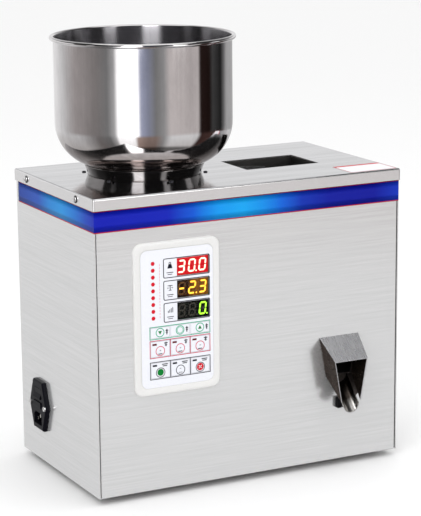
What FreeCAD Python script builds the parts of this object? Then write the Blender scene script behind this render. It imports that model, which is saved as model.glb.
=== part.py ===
import FreeCAD, Part
import os
import re
import Sketcher

# A bench-top weighing filling machine for grains and powders.
# Millimetres. X runs along the front from left to right, Y from the front to the back, Z up.
# The origin lies on the table, under the centre of the cabinet.
# The hopper drops the goods through a funnel on a trough that an electromagnet shakes. The trough
# feeds a bucket that hangs on a load cell. At the set weight the bucket's flap opens, and the goods
# slide down a chute and out of the spout at the front.

# Driving sizes, each with the thing that it measures
SIZES = {
    # cabinet
    "cabinet_width": 380,       # over the side sheets
    "cabinet_depth": 219,       # front panel to back sheet
    "cabinet_height": 333.5,    # bottom edge to the top of the lid
    "gauge": 1.2,               # cabinet sheet
    "bend_radius": 2,           # outside radius of a folded edge
    "panel_edge": 0.7,          # rounding of the front panel's edges
    "seam_gap": 1,              # between the front panel and each side sheet
    "fit_gap": 0.3,             # between pieces that slide past or lie in each other
    "flange_depth": 16,         # folded edges inside the cabinet
    "base_gauge": 1.5,          # base plate
    "foot_height": 8,           # table to the bottom edge of the cabinet
    "foot_radius": 11,
    "foot_inset": 42,           # foot centre to the outside of the cabinet
    "lid_flange": 13.3,         # depth of the lid's folded edge
    "vent_rows": 2,
    "vent_columns": 9,
    "vent_pitch": 12,
    "vent_width": 3.5,
    "vent_length": 40,
    "vent_drop": 60,            # top of the lid to the middle of the upper row
    # hopper
    "hopper_from_left": 118.1,
    "hopper_from_front": 122.5,
    "bowl_radius": 100.4,       # outside of the bowl's wall
    "bowl_corner": 50,          # radius of the bowl's rounded bottom
    "bowl_gauge": 1,
    "bowl_chord": 22.5,         # the rounded bottom is drawn in chords of this angle
    "bead_chord": 60,           # and so is the rolled rim
    "seat_gap": 0.1,            # between the bowl and its collar
    "bowl_rise": 154,           # top of the lid to the centre of the rolled rim
    "bowl_floor_rise": 9.5,     # top of the lid to the lowest point of the rounded bottom
    "bead_radius": 2.6,         # rolled rim
    "neck_length": 11,          # spout under the bowl
    "collar_radius": 63.3,      # collar where it comes out of the lid
    "collar_lip_radius": 68.4,
    "collar_flange_radius": 76,
    "funnel_mouth": 102,        # square mouth and outlet
    "funnel_outlet_width": 24,
    "funnel_neck": 9,           # straight part at the outlet
    "funnel_drop": 34,          # underside of the lid to the funnel's outlet
    # window in the lid and the duct under it
    "window_from_left": 225,
    "window_width": 94,
    "window_from_front": 76.5,
    "window_depth": 64.5,
    "duct_gauge": 1,
    "duct_flange": 8,
    "chute_angle": 40,          # slope of the chute's floor
    "chute_roof_drop": 90,      # top of the lid to the start of the chute's roof
    # vibrating trough
    "tray_length": 198,
    "tray_width": 49,
    "tray_gauge": 1.2,
    "tray_wall": 12,
    "tray_cheek": 44,           # high walls at the outlet end
    "tray_cheek_length": 49,
    "tray_from_front": 115.5,   # centre line
    "tray_reach": 54,           # past the left edge of the window
    "tray_slope": 5,
    "tray_gap": 4,              # under the funnel's outlet
    "tray_overhang": 72,        # foot of the right spring to the outlet end
    "tray_clear": 3,            # round the trough and the bracket where they enter the duct
    "spring_length": 56,
    "spring_angle": 20,         # lean of the leaf springs
    "spring_spacing": 70,
    "spring_gauge": 1.2,
    "spring_width": 34,
    "clamp_height": 14,
    "clamp_gauge": 3,
    "lug_gauge": 8,
    "bracket_gauge": 3,
    "bracket_drop": 4.4,        # top end of a spring to the bracket's plate
    "base_block_height": 12,
    "base_block_drop": 8,       # bottom end of a spring to the base block
    "block_width": 44,
    "block_overhang": 14,       # spring's foot to the right end of the base block
    "magnet_gap": 2,
    "magnet_left": 18,          # along the shake, from the left spring
    "magnet_length": 22,
    "magnet_width": 20,
    "magnet_low": 2,
    "magnet_height": 30,
    "limb": 5,                  # outer limbs and slots of the core
    "armature_gauge": 4,
    "mount_height": 12,
    "mount_size": 14,
    "shelf_gauge": 2,
    "shelf_lip": 6,
    # weigh bucket
    "bucket_width": 58,
    "bucket_clear": 5,          # to the walls of the duct
    "bucket_front_gap": 9,      # to the duct's front wall, for the flap's hinge
    "bucket_top_drop": 63.5,    # top of the lid to the bucket's rim
    "bucket_front_height": 74,
    "bucket_back_height": 36,
    "door_height": 42,
    "door_gauge": 1,
    "hinge_radius": 3,
    "pin_radius": 1.5,
    "pin_play": 0.15,
    "lever_length": 24,
    "lever_gauge": 2.5,
    "plunger_rise": 14,         # hinge pin to the plunger
    "plunger_radius": 3,
    "solenoid_size": 16,
    "solenoid_length": 28,
    "solenoid_gap": 19,         # hinge pin to the front of the solenoid
    "plunger_inside": 11,       # length of the plunger inside the solenoid
    "fork_front": 2.2,          # slot of the plunger, in front of the lever
    "fork_back": 7.4,           # and behind it
    "fork_wall": 1.4,
    "bracket_width": 24,
    "cell_length": 80,
    "cell_width": 12.7,
    "cell_height": 22,
    "cell_hole_radius": 6.5,
    "cell_hole_spacing": 16.4,
    "cell_slot": 3.2,
    "cell_from_back": 41,       # centre of the load cell to the back of the cabinet
    "stand_gauge": 2,
    "stand_reach": 22,          # length of the load cell on its stand
    # spout
    "spout_from_left": 301.8,
    "spout_top_width": 51,
    "spout_drop": 186.5,        # top of the lid to the upper edge of the hood
    "spout_front_width": 43,
    "spout_fall": 22.4,         # slope of the hood's roof towards the front
    "spout_reach": 28,          # in front of the panel
    "trough_radius": 10.4,
    "trough_tip_drop": 74,      # hood's upper edge to the trough's rim at its tip
    "trough_root_drop": 46,     # and at the panel
    "spout_notch": 3.4,         # wedge between the hood and the trough at the front
    "switch_from_left": 303.5,
    "switch_drop": 78.6,        # hood's upper edge to the centre of the switch
    "switch_size": 12,
    "switch_reach": 6,
    "switch_lever_width": 1.4,
    "switch_lever_rise": 2.6,
    "switch_lever_high": 4.6,   # top of the lever above the switch's centre
    "switch_lever_low": 4.8,    # foot of the lever below it
    "switch_slot_high": 5,
    "switch_slot_depth": 4.2,
    # keypad
    "bezel_from_left": 44,
    "bezel_width": 104,
    "bezel_bottom": 109.5,
    "bezel_height": 170.5,
    "bezel_corner": 9,
    "bezel_rim": 5,
    "bezel_ledge": 3,           # behind the film
    "bezel_proud": 3,
    "film_gauge": 0.6,
    "film_depth": 0.8,          # bezel's face to the film's face
    "display_width": 39,
    "display_height": 19.7,
    "display_from_left": 115.5,  # centre of the displays
    "display_top": 250,         # centre of the first display above the bottom edge
    "display_pitch": 24.7,
    "key_width": 22.3,
    "key_height": 17,
    "key_height_a": 11.6,       # in the upper row
    "key_from_left": 99,        # middle column
    "key_pitch": 24.3,
    "key_row_a": 179.3,
    "key_row_b": 161,
    "key_row_c": 137,
    "board_depth": 9,           # front of the cabinet to the control board
    "board_gauge": 1.6,
    "switch_body": 6,
    "key_stem": 3,              # width of the square stem behind a key
    "switch_gap": 0.6,          # key stem to its switch
    # power inlet
    "inlet_from_front": 158.7,
    "inlet_height": 67,
    "inlet_width": 48.6,        # across the corners at mid height
    "inlet_top_width": 27,
    "inlet_length": 58,
    "inlet_proud": 5.5,
    "inlet_rim": 3,
    "inlet_wall": 1.5,
    "inlet_body_width": 27.4,
    "inlet_body_length": 47,
    "inlet_body_depth": 30,
    "socket_width": 22,
    "socket_height": 14.6,
    "socket_depth": 17,
    "socket_drop": 15.5,        # centre of the inlet to the centre of the socket
    "socket_corner": 4.4,
    "drawer_width": 21,
    "drawer_height": 6.4,
    "drawer_drop": 1.4,
    "drawer_depth": 22,
    "drawer_lip": 1.2,
    "pin_offset": 2,            # earth pin above and live pins below the socket's centre
    "pin_spacing": 7,
    "pin_gauge": 2,
    "pin_width": 4,
    "rocker_width": 19,
    "rocker_height": 12.4,
    "rocker_rise": 14.6,
    "rocker_tilt": 9,
    "rocker_pivot": 1.2,        # flange's face to the rocker's pivot
    "rocker_dip": 1,            # pivot to the bottom of the rocker's V
    "rocker_wing": 1.2,         # depth of the V
    # inside
    "transformer_from_left": 78,
    "transformer_from_back": 48,
    "transformer_width": 56,
    "transformer_depth": 34,
    "transformer_height": 48,
    "coil_bulge": 9,
    "driver_from_left": 250,
    "driver_from_front": 60,
    "driver_width": 96,
    "driver_depth": 62,
    "standoff_height": 8,
    "standoff_radius": 3,
    "capacitor_radius": 6,
}

# Places and sizes that follow from the driving sizes
PLACES = {
    "left": "-cabinet_width / 2",
    "right": "cabinet_width / 2",
    "front": "-cabinet_depth / 2",
    "back": "cabinet_depth / 2",
    "lid_top": "foot_height + cabinet_height",
    "lid_under": "lid_top - gauge",
    "base_top": "foot_height + gauge + base_gauge",
    "panel_back": "front + gauge",
    "hopper_x": "left + hopper_from_left",
    "hopper_y": "front + hopper_from_front",
    "bowl_floor": "lid_top + bowl_floor_rise",
    "bowl_corner_centre": "bowl_floor + bowl_corner",
    "neck_radius": "bowl_radius - bowl_corner",
    "rim_height": "lid_top + bowl_rise",
    "bead_centre": "bowl_radius + bead_radius - bowl_gauge",
    "bead_foot": "rim_height - sqrt(bead_radius ^ 2 - (bead_radius - bowl_gauge) ^ 2)",
    "collar_top": "bowl_floor - seat_gap"
                  " + (collar_lip_radius - gauge - neck_radius) * tan(bowl_chord / 2)",
    "collar_under": "lid_under - gauge",
    "funnel_outlet": "lid_under - funnel_drop",
    "window_left": "left + window_from_left",
    "window_right": "window_left + window_width",
    "window_front": "front + window_from_front",
    "window_back": "window_front + window_depth",
    "spout_roof": "lid_top - spout_drop",
    "tip_z": "spout_roof - trough_tip_drop",
    "root_z": "spout_roof - trough_root_drop",
    "chute_foot": "root_z + duct_gauge",
    "floor_at_front": "chute_foot + (window_front - panel_back) * tan(chute_angle)",
    "floor_at_back": "chute_foot + (window_back - panel_back) * tan(chute_angle)",
    "chute_roof": "lid_top - chute_roof_drop",
    "spout_x": "left + spout_from_left",
    "spout_front": "front - spout_reach",
    "spout_low": "tip_z - trough_radius",
    "cheek_slope": "(spout_top_width - spout_front_width) / 2 / spout_fall",
    "tray_y": "front + tray_from_front",
    "spring_lean": "spring_length * sin(spring_angle)",
    "spring_rise": "spring_length * cos(spring_angle)",
    "tray_under": "spring_rise + bracket_drop + bracket_gauge",
    "tray_floor": "tray_under + tray_gauge",
    "tray_end": "spring_spacing + tray_overhang",
    "feeder_x": "window_left + tray_reach - tray_end * cos(tray_slope) - tray_under * sin(tray_slope)",
    "feeder_z": "funnel_outlet - tray_gap - tray_floor * cos(tray_slope)"
                " + (hopper_x - feeder_x - tray_floor * sin(tray_slope)) * tan(tray_slope)",
    "tray_at_window": "feeder_z + tray_under / cos(tray_slope) - (window_left - feeder_x) * tan(tray_slope)",
    "armature_x": "magnet_left + magnet_length + magnet_gap",
    "block_top": "-base_block_drop",
    "block_under": "block_top - base_block_height",
    "mount_under": "block_under - mount_height",
    "block_left": "-clamp_gauge * 3",
    "block_right": "spring_spacing + block_overhang",
    "bucket_right": "window_right - bucket_clear",
    "bucket_left": "bucket_right - bucket_width",
    "bucket_front": "window_front + bucket_front_gap",
    "bucket_back": "window_back - bucket_clear",
    "bucket_top": "lid_top - bucket_top_drop",
    "bucket_low": "bucket_top - bucket_front_height",
    "hinge_y": "bucket_front - hinge_radius - fit_gap",
    "hinge_z": "bucket_low + door_height",
    "plunger_z": "hinge_z + plunger_rise",
    "plunger_x": "bucket_left - solenoid_size / 2",
    "cell_y": "back - cell_from_back",
    "cell_top": "bucket_top - bucket_back_height + clamp_gauge * 2",
    "cell_right": "bucket_left + bucket_width / 2 + bracket_width / 2",
    "cell_left": "cell_right - cell_length",
    "bezel_left": "left + bezel_from_left",
    "bezel_right": "bezel_left + bezel_width",
    "bezel_low": "foot_height + bezel_bottom",
    "bezel_high": "bezel_low + bezel_height",
    "bezel_face": "front - bezel_proud",
    "film_face": "bezel_face + film_depth",
    "film_back": "film_face + film_gauge",
    "display_x": "left + display_from_left",
    "board_front": "front + board_depth",
    "inlet_y": "front + inlet_from_front",
    "inlet_z": "foot_height + inlet_height",
    "inlet_face": "left - inlet_proud",
    "socket_z": "inlet_z - socket_drop",
    "drawer_z": "inlet_z + drawer_drop",
    "rocker_z": "inlet_z + rocker_rise",
    "switch_x": "left + switch_from_left",
    "switch_z": "spout_roof - switch_drop",
    "switch_face": "front - switch_reach",
}

# Each drawing plane: its name in the body's origin, the sign of its level along the axis
VIEWS = {"top": ("XY_Plane", 1), "front": ("XZ_Plane", -1), "side": ("YZ_Plane", 1)}

# Coordinates that lie closer together than this are the same
SAME_PLACE = 0.01
# The share of a direction that a face's normal holds when the face looks straight that way
STRAIGHT = 0.99
# and when it looks roughly that way
ROUGHLY = 0.5

document = FreeCAD.newDocument("weighing_filling_machine")
sheet = document.addObject("Spreadsheet::Sheet", "dim")
for row, (name, size) in enumerate(SIZES.items(), start=1):
    sheet.set(f"A{row}", str(size))
    sheet.setAlias(f"A{row}", name)
document.recompute()

parts = []


def formula(text):
    """Write a formula in plain names as one on the sheet's cells."""
    def expand(found):
        word = found.group()
        if word in SIZES:
            return f"dim.{word}"
        if word in PLACES:
            return f"({formula(PLACES[word])})"
        return word
    return re.sub(r"[a-z_]+", expand, str(text))


def number(text):
    """The value that a formula has now."""
    found = sheet.evalExpression(formula(text))
    return float(getattr(found, "Value", found))


def new_part(label):
    """Start one sub-part, a body that may hold several like solids."""
    body = document.addObject("PartDesign::Body", label)
    body.Label = label
    body.AllowCompound = True
    parts.append(body)
    return body


def tilt(body, origin, angle):
    """Turn a body about the Y axis by an angle in degrees, and put its origin at a point."""
    body.Placement.Rotation = FreeCAD.Rotation(FreeCAD.Vector(0, 1, 0), 1)
    body.setExpression("Placement.Rotation.Angle", formula(angle))
    for axis, text in zip("xyz", origin):
        body.setExpression(f"Placement.Base.{axis}", formula(text))


def new_sketch(body, view, level, shift=("0", "0")):
    """An empty sketch on one of the body's origin planes, moved along its normal to a level."""
    role, sign = VIEWS[view]
    plane = [item for item in body.Origin.OriginFeatures if item.Role == role][0]
    sketch = body.newObject("Sketcher::SketchObject", "sketch")
    sketch.AttachmentSupport = (plane, [""])
    sketch.MapMode = "FlatFace"
    sketch.setExpression("AttachmentOffset.Base.x", formula(shift[0]))
    sketch.setExpression("AttachmentOffset.Base.y", formula(shift[1]))
    sketch.setExpression("AttachmentOffset.Base.z", formula(f"{sign} * ({level})"))
    return sketch


def pin_down(sketch, kind, geometry, point, text):
    """Fix one coordinate of a sketch point to a formula."""
    value = number(text)
    index = sketch.addConstraint(Sketcher.Constraint(kind, -1, 1, geometry, point, value))
    sketch.setExpression(f"Constraints[{index}]", formula(text))


def arc_centre(start, end, radius):
    """Centre of the arc from start to end; a positive radius turns left, a negative one right."""
    middle = (start + end) * 0.5
    chord = end - start
    reach = max(radius * radius - chord.Length * chord.Length / 4, 0) ** 0.5
    normal = FreeCAD.Vector(-chord.y, chord.x, 0)
    normal.normalize()
    return middle + normal * (reach if radius > 0 else -reach)


def draw_outline(sketch, corners):
    """A closed outline. A corner with a third value is reached by an arc of that radius."""
    points = [FreeCAD.Vector(number(corner[0]), number(corner[1]), 0) for corner in corners]
    first = sketch.GeometryCount
    count = len(corners)
    for index in range(count):
        start = points[index]
        end = points[(index + 1) % count]
        target = corners[(index + 1) % count]
        if len(target) == 2:
            sketch.addGeometry(Part.LineSegment(start, end), False)
            continue
        radius = number(target[2])
        centre = arc_centre(start, end, radius)
        middle = (start + end) * 0.5
        outward = FreeCAD.Vector(end.y - start.y, start.x - end.x, 0)
        outward.normalize()
        bulge = middle + outward * (abs(radius) - (centre - middle).Length) * (1 if radius > 0 else -1)
        sketch.addGeometry(Part.Arc(start, bulge, end), False)
    for index in range(count):
        geometry = first + index
        target = corners[(index + 1) % count]
        turns_right = len(target) == 3 and number(target[2]) < 0
        start_point = 2 if turns_right else 1
        before = first + (index - 1) % count
        corner = corners[index]
        end_point = 1 if len(corner) == 3 and number(corner[2]) < 0 else 2
        sketch.addConstraint(Sketcher.Constraint("Coincident", before, end_point, geometry, start_point))
        pin_down(sketch, "DistanceX", geometry, start_point, corner[0])
        pin_down(sketch, "DistanceY", geometry, start_point, corner[1])
    for index in range(count):
        target = corners[(index + 1) % count]
        if len(target) == 3:
            text = f"abs({target[2]})"
            fixed = sketch.addConstraint(Sketcher.Constraint("Radius", first + index, number(text)))
            sketch.setExpression(f"Constraints[{fixed}]", formula(text))


def draw_circle(sketch, x, y, radius):
    """A circle whose centre and radius follow formulas."""
    centre = FreeCAD.Vector(number(x), number(y), 0)
    circle = sketch.addGeometry(Part.Circle(centre, FreeCAD.Vector(0, 0, 1), number(radius)), False)
    pin_down(sketch, "DistanceX", circle, 3, x)
    pin_down(sketch, "DistanceY", circle, 3, y)
    fixed = sketch.addConstraint(Sketcher.Constraint("Radius", circle, number(radius)))
    sketch.setExpression(f"Constraints[{fixed}]", formula(radius))


def rectangle(x_low, x_high, y_low, y_high):
    """The four corners of an upright rectangle."""
    return [(x_low, y_low), (x_high, y_low), (x_high, y_high), (x_low, y_high)]


def box_at(x, y, width, height):
    """The four corners of a rectangle about its centre."""
    return rectangle(f"{x} - ({width}) / 2", f"{x} + ({width}) / 2",
                     f"{y} - ({height}) / 2", f"{y} + ({height}) / 2")


def hexagon(x, y, radius):
    """The six corners of a hexagon about its centre."""
    return [(f"{x} + {radius} * cos({turn} * 60)", f"{y} + {radius} * sin({turn} * 60)")
            for turn in range(6)]


def draw(sketch, shapes):
    """Draw each shape: a circle is (x, y, radius), an outline is a list of corners."""
    for shape in shapes:
        if isinstance(shape, tuple):
            draw_circle(sketch, *shape)
        else:
            draw_outline(sketch, shape)


def pad(body, view, low, high, *shapes):
    """Fill the shapes between two levels along the view's axis."""
    sketch = new_sketch(body, view, low)
    draw(sketch, shapes)
    feature = body.newObject("PartDesign::Pad", "pad")
    feature.Profile = sketch
    feature.Reversed = VIEWS[view][1] < 0
    feature.setExpression("Length", formula(f"({high}) - ({low})"))
    return feature


def cut(body, view, low, high, *shapes):
    """Remove the shapes between two levels along the view's axis."""
    sketch = new_sketch(body, view, low)
    draw(sketch, shapes)
    feature = body.newObject("PartDesign::Pocket", "cut")
    feature.Profile = sketch
    feature.Reversed = VIEWS[view][1] > 0
    feature.setExpression("Length", formula(f"({high}) - ({low})"))
    return feature


def revolve(body, x, y, corners):
    """Turn a profile of (radius, height) corners about an upright axis."""
    sketch = new_sketch(body, "front", y, (x, "0"))
    draw_outline(sketch, corners)
    feature = body.newObject("PartDesign::Revolution", "revolution")
    feature.Profile = sketch
    feature.ReferenceAxis = (sketch, ["V_Axis"])
    feature.Angle = 360
    return feature


def frustum(body, kind, low, high, low_shape, high_shape, is_upright=False):
    """Add or remove a block between two rectangles, each (x_low, x_high, then its other two edges).

    It runs from front to back, or upright from a lower level to a higher one.
    """
    feature = body.newObject(f"PartDesign::{kind}Wedge", "frustum")
    if is_upright:
        feature.Placement = FreeCAD.Placement(FreeCAD.Vector(), FreeCAD.Rotation(FreeCAD.Vector(1, 0, 0), 90))
        low_shape, high_shape = [(x_low, x_high, f"-({y_high})", f"-({y_low})")
                                 for x_low, x_high, y_low, y_high in (low_shape, high_shape)]
    names = ("Xmin", "Xmax", "Zmin", "Zmax", "X2min", "X2max", "Z2min", "Z2max", "Ymin", "Ymax")
    for name, text in zip(names, (*low_shape, *high_shape, low, high)):
        feature.setExpression(name, formula(text))
    return feature


def shell(body, thickness, is_open):
    """Hollow the body out to a sheet, open at the faces that the test wants."""
    document.recompute()
    base = body.Tip
    names = []
    for index, face in enumerate(base.Shape.Faces, start=1):
        if is_open(face.normalAt(0, 0), face.CenterOfMass):
            names.append(f"Face{index}")
    feature = body.newObject("PartDesign::Thickness", "shell")
    feature.Base = (base, names)
    feature.Reversed = True
    feature.Join = "Intersection"
    feature.setExpression("Value", formula(thickness))
    return feature


def middle_of(edge):
    """The point half-way along an edge."""
    return edge.valueAt((edge.FirstParameter + edge.LastParameter) / 2)


def soften(body, size, wanted, kind="Fillet"):
    """Round or bevel the edges of the body's last feature that the test wants."""
    document.recompute()
    base = body.Tip
    names = []
    for index, edge in enumerate(base.Shape.Edges, start=1):
        if wanted(edge, middle_of(edge)):
            names.append(f"Edge{index}")
    feature = body.newObject(f"PartDesign::{kind}", "edges")
    feature.Base = (base, names)
    feature.setExpression("Radius" if kind == "Fillet" else "Size", formula(size))
    return feature


def near(value, text):
    """Whether a coordinate is the formula's value."""
    return abs(value - number(text)) < SAME_PLACE


def upright(edge):
    """Whether an edge is straight and parallel to Z."""
    box = edge.BoundBox
    return box.XLength < SAME_PLACE and box.YLength < SAME_PLACE


def side_and_back_wrap():
    """One sheet folded round both sides and the back, with its bottom and front flanges."""
    body = new_part("side_and_back_wrap")
    pad(body, "top", "foot_height", "lid_under",
        [("left", "front"), ("left + gauge", "front"), ("left + gauge", "back - gauge"),
         ("right - gauge", "back - gauge"), ("right - gauge", "front"), ("right", "front"),
         ("right", "back"), ("left", "back")])
    soften(body, "bend_radius", lambda edge, at: upright(edge) and near(at.y, "back"))
    soften(body, "bend_radius - gauge", lambda edge, at: upright(edge) and near(at.y, "back - gauge"))
    start = "panel_back + flange_depth + fit_gap"
    pad(body, "top", "foot_height", "foot_height + gauge",
        [("left + gauge", start), ("left + gauge + flange_depth", start),
         ("left + gauge + flange_depth", "back - gauge - flange_depth"),
         ("right - gauge - flange_depth", "back - gauge - flange_depth"),
         ("right - gauge - flange_depth", start), ("right - gauge", start),
         ("right - gauge", "back - gauge"), ("left + gauge", "back - gauge")])
    pad(body, "top", "base_top", "lid_under",
        rectangle("left + gauge", "left + gauge + flange_depth", "panel_back", "panel_back + gauge"),
        rectangle("right - gauge - flange_depth", "right - gauge", "panel_back", "panel_back + gauge"))
    slots = []
    for row in range(int(SIZES["vent_rows"])):
        for column in range(int(SIZES["vent_columns"])):
            across = f"vent_pitch * ({column} - (vent_columns - 1) / 2)"
            height = f"lid_top - vent_drop - {row} * (vent_length + vent_width * 2)"
            slots.append(box_at(across, height, "vent_width", "vent_length"))
    cut(body, "front", "back - gauge - vent_width", "back + gauge", *slots)
    cut(body, "side", "left - gauge", "left + gauge * 2",
        box_at("inlet_y", "inlet_z", "inlet_body_width + fit_gap", "inlet_body_length + fit_gap"))


def foot_places():
    """The four corners where the feet stand."""
    return [(f"{x_sign} * (right - foot_inset)", f"{y_sign} * (back - foot_inset)")
            for x_sign in (-1, 1) for y_sign in (-1, 1)]


def front_panel():
    """The front panel with its bottom flange and the cut-outs for keypad, spout and switch."""
    body = new_part("front_panel")
    edge_left = "left + gauge + seam_gap"
    edge_right = "right - gauge - seam_gap"
    pad(body, "front", "front", "panel_back", rectangle(edge_left, edge_right, "foot_height", "lid_under"))
    soften(body, "panel_edge", lambda edge, at: near(at.y, "front") and not near(at.z, "lid_under"))
    pad(body, "top", "foot_height", "foot_height + gauge",
        rectangle(edge_left, edge_right, "panel_back", "panel_back + flange_depth"))
    cut(body, "front", "front - gauge", "panel_back + gauge",
        rectangle("bezel_left + bezel_rim + bezel_ledge", "bezel_right - bezel_rim - bezel_ledge",
                  "bezel_low + bezel_rim + bezel_ledge", "bezel_high - bezel_rim - bezel_ledge"),
        hood_outline("duct_gauge * 2", "chute_foot", "spout_roof - duct_gauge * 2"),
        box_at("switch_x", "switch_z", "switch_size", "switch_size"))


def base_plate():
    """The bottom, which lies on the flanges and carries the feet and the inner stands."""
    body = new_part("base_plate")
    pad(body, "top", "foot_height + gauge", "base_top",
        rectangle("left + gauge + fit_gap", "right - gauge - fit_gap",
                  "panel_back + fit_gap", "back - gauge - fit_gap"))


def top_lid():
    """A cap folded from one sheet, open for the hopper and the window."""
    body = new_part("top_lid")
    edge = "cabinet_width / 2 + fit_gap + gauge"
    side = "cabinet_depth / 2 + fit_gap + gauge"
    pad(body, "top", "lid_top - lid_flange", "lid_top", rectangle(f"-({edge})", edge, f"-({side})", side))
    soften(body, "bend_radius", lambda line, at: upright(line) or near(at.z, "lid_top"))
    cut(body, "top", "lid_top - lid_flange - gauge", "lid_under",
        rectangle("left - fit_gap", "right + fit_gap", "front - fit_gap", "back + fit_gap"))
    cut(body, "top", "lid_under - gauge", "lid_top + gauge",
        ("hopper_x", "hopper_y", "collar_radius + gauge"),
        rectangle("window_left", "window_right", "window_front", "window_back"))


def rubber_feet():
    """Four round rubber feet, stuck to the base plate's underside."""
    body = new_part("rubber_feet")
    pad(body, "top", "0", "foot_height + gauge", *[(x, y, "foot_radius") for x, y in foot_places()])


def arc_points(x, z, radius, first, last, chord):
    """Points on an arc from one angle to another, measured from straight down towards the outside."""
    count = round((number(last) - number(first)) / number(chord))
    angles = [f"(({first}) + {step} * {chord})" for step in range(count + 1)]
    return [(f"{x} + ({radius}) * sin({angle})", f"{z} - ({radius}) * cos({angle})") for angle in angles]


def hopper_bowl():
    """The spun bowl: neck, rounded bottom, straight wall and rolled rim in one profile."""
    body = new_part("hopper_bowl")
    outside = arc_points("neck_radius", "bowl_corner_centre", "bowl_corner", "0", "90", "bowl_chord")
    inside = arc_points("neck_radius", "bowl_corner_centre", "bowl_corner - bowl_gauge",
                        "bowl_chord", "90", "bowl_chord")
    bead = arc_points("bead_centre", "rim_height", "bead_radius", "bead_chord / 2", "270", "bead_chord")
    revolve(body, "hopper_x", "hopper_y",
            [("neck_radius - bowl_gauge", "bowl_floor - neck_length"),
             ("neck_radius", "bowl_floor - neck_length"), *outside, ("bowl_radius", "bead_foot"),
             *bead, *reversed(inside), ("neck_radius - bowl_gauge", "bowl_floor + bowl_gauge")])


def hopper_collar():
    """The flared seat of the bowl. Its flange lies under the lid."""
    body = new_part("hopper_collar")
    revolve(body, "hopper_x", "hopper_y",
            [("collar_flange_radius", "collar_under"), ("collar_flange_radius", "lid_under"),
             ("collar_radius", "lid_under"), ("collar_lip_radius", "collar_top"),
             ("collar_lip_radius - gauge", "collar_top"), ("collar_radius - gauge", "collar_under")])


def feed_funnel():
    """A square funnel folded from sheet, which leads the goods from the bowl down to the trough."""
    body = new_part("feed_funnel")
    neck = "funnel_outlet + funnel_neck"

    def square(y, width, inset):
        half = f"(({width}) / 2 - ({inset}))"
        return (f"hopper_x - {half}", f"hopper_x + {half}", f"{y} - {half}", f"{y} + {half}")

    for kind, inset in (("Additive", "0"), ("Subtractive", "duct_gauge * 2")):
        frustum(body, kind, neck, "collar_under", square("tray_y", "funnel_outlet_width", inset),
                square("hopper_y", "funnel_mouth", inset), is_upright=True)
        if kind == "Additive":
            pad(body, "top", "funnel_outlet", neck, rectangle(*square("tray_y", "funnel_outlet_width", "0")))
    cut(body, "top", "funnel_outlet - duct_gauge", neck,
        rectangle(*square("tray_y", "funnel_outlet_width", "duct_gauge * 2")))


def window_duct():
    """The square duct under the window, with a sloping floor and a way out at the front."""
    body = new_part("window_duct")
    slope = "tan(chute_angle)"
    under = "duct_gauge / cos(chute_angle)"
    pad(body, "side", "window_left - duct_gauge", "window_right + duct_gauge",
        [("window_front - duct_gauge", "lid_under"),
         ("window_front - duct_gauge", f"floor_at_front - duct_gauge * {slope} - {under}"),
         ("window_back + duct_gauge", f"floor_at_back + duct_gauge * {slope} - {under}"),
         ("window_back + duct_gauge", "lid_under")])
    pad(body, "top", "lid_under - duct_gauge", "lid_under",
        rectangle("window_left - duct_flange", "window_right + duct_flange",
                  "window_front - duct_flange", "window_back + duct_flange"))
    cut(body, "side", "window_left", "window_right",
        [("window_front", "lid_under + duct_gauge"), ("window_front", "chute_roof"),
         ("window_front - duct_gauge * 2", "chute_roof"),
         ("window_front - duct_gauge * 2", f"floor_at_front - duct_gauge * 2 * {slope}"),
         ("window_back", "floor_at_back"), ("window_back", "lid_under + duct_gauge")])
    cut(body, "side", "window_left - duct_gauge * 2", "window_left + duct_gauge",
        rectangle("tray_y - tray_width / 2 - tray_clear", "window_back",
                  "tray_at_window - tray_clear", "lid_under - duct_gauge"))
    cut(body, "front", "window_back - duct_gauge", "window_back + duct_gauge * 2",
        rectangle("cell_right - bracket_width - tray_clear", "cell_right + tray_clear",
                  "cell_top - tray_clear", "bucket_top"))


def discharge_chute():
    """The slide from the duct to the spout, narrower towards the front panel."""
    body = new_part("discharge_chute")
    half = "(spout_top_width / 2 - duct_gauge * 2)"
    for kind, grow in (("Additive", "duct_gauge"), ("Subtractive", "0")):
        frustum(body, kind, "panel_back", "window_front - duct_gauge",
                (f"spout_x - {half} - {grow}", f"spout_x + {half} + {grow}",
                 f"chute_foot - {grow}", f"spout_roof - duct_gauge * 2 + {grow}"),
                (f"window_left - {grow}", f"window_right + {grow}",
                 f"floor_at_front - duct_gauge * tan(chute_angle) - {grow}", f"chute_roof + {grow}"))


def hood_outline(margin, low, high):
    """The hood's front view between two heights: it narrows downwards, at a margin inside its cheeks."""
    low_half, high_half = [f"(spout_top_width / 2 - (spout_roof - ({z})) * cheek_slope - {margin})"
                           for z in (low, high)]
    return [(f"spout_x - {low_half}", low), (f"spout_x + {low_half}", low),
            (f"spout_x + {high_half}", high), (f"spout_x - {high_half}", high)]


def spout_hood():
    """The spout's sloping roof and its two cheeks, folded from one sheet, open in front and below."""
    body = new_part("spout_hood")
    low_left, low_right, high_right, high_left = hood_outline("0", "spout_low", "spout_roof")
    pad(body, "side", high_left[0], high_right[0],
        [("front", "spout_roof"), ("front", "root_z"),
         ("spout_front", "tip_z + spout_notch"), ("spout_front", "spout_roof - spout_fall")])
    cut(body, "front", "spout_front - gauge", "front + gauge",
        [high_left, (high_left[0], low_left[1]), low_left],
        [high_right, low_right, (high_right[0], low_right[1])])
    shell(body, "duct_gauge", lambda normal, at: abs(normal.y) > STRAIGHT or normal.z < -ROUGHLY)


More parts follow.
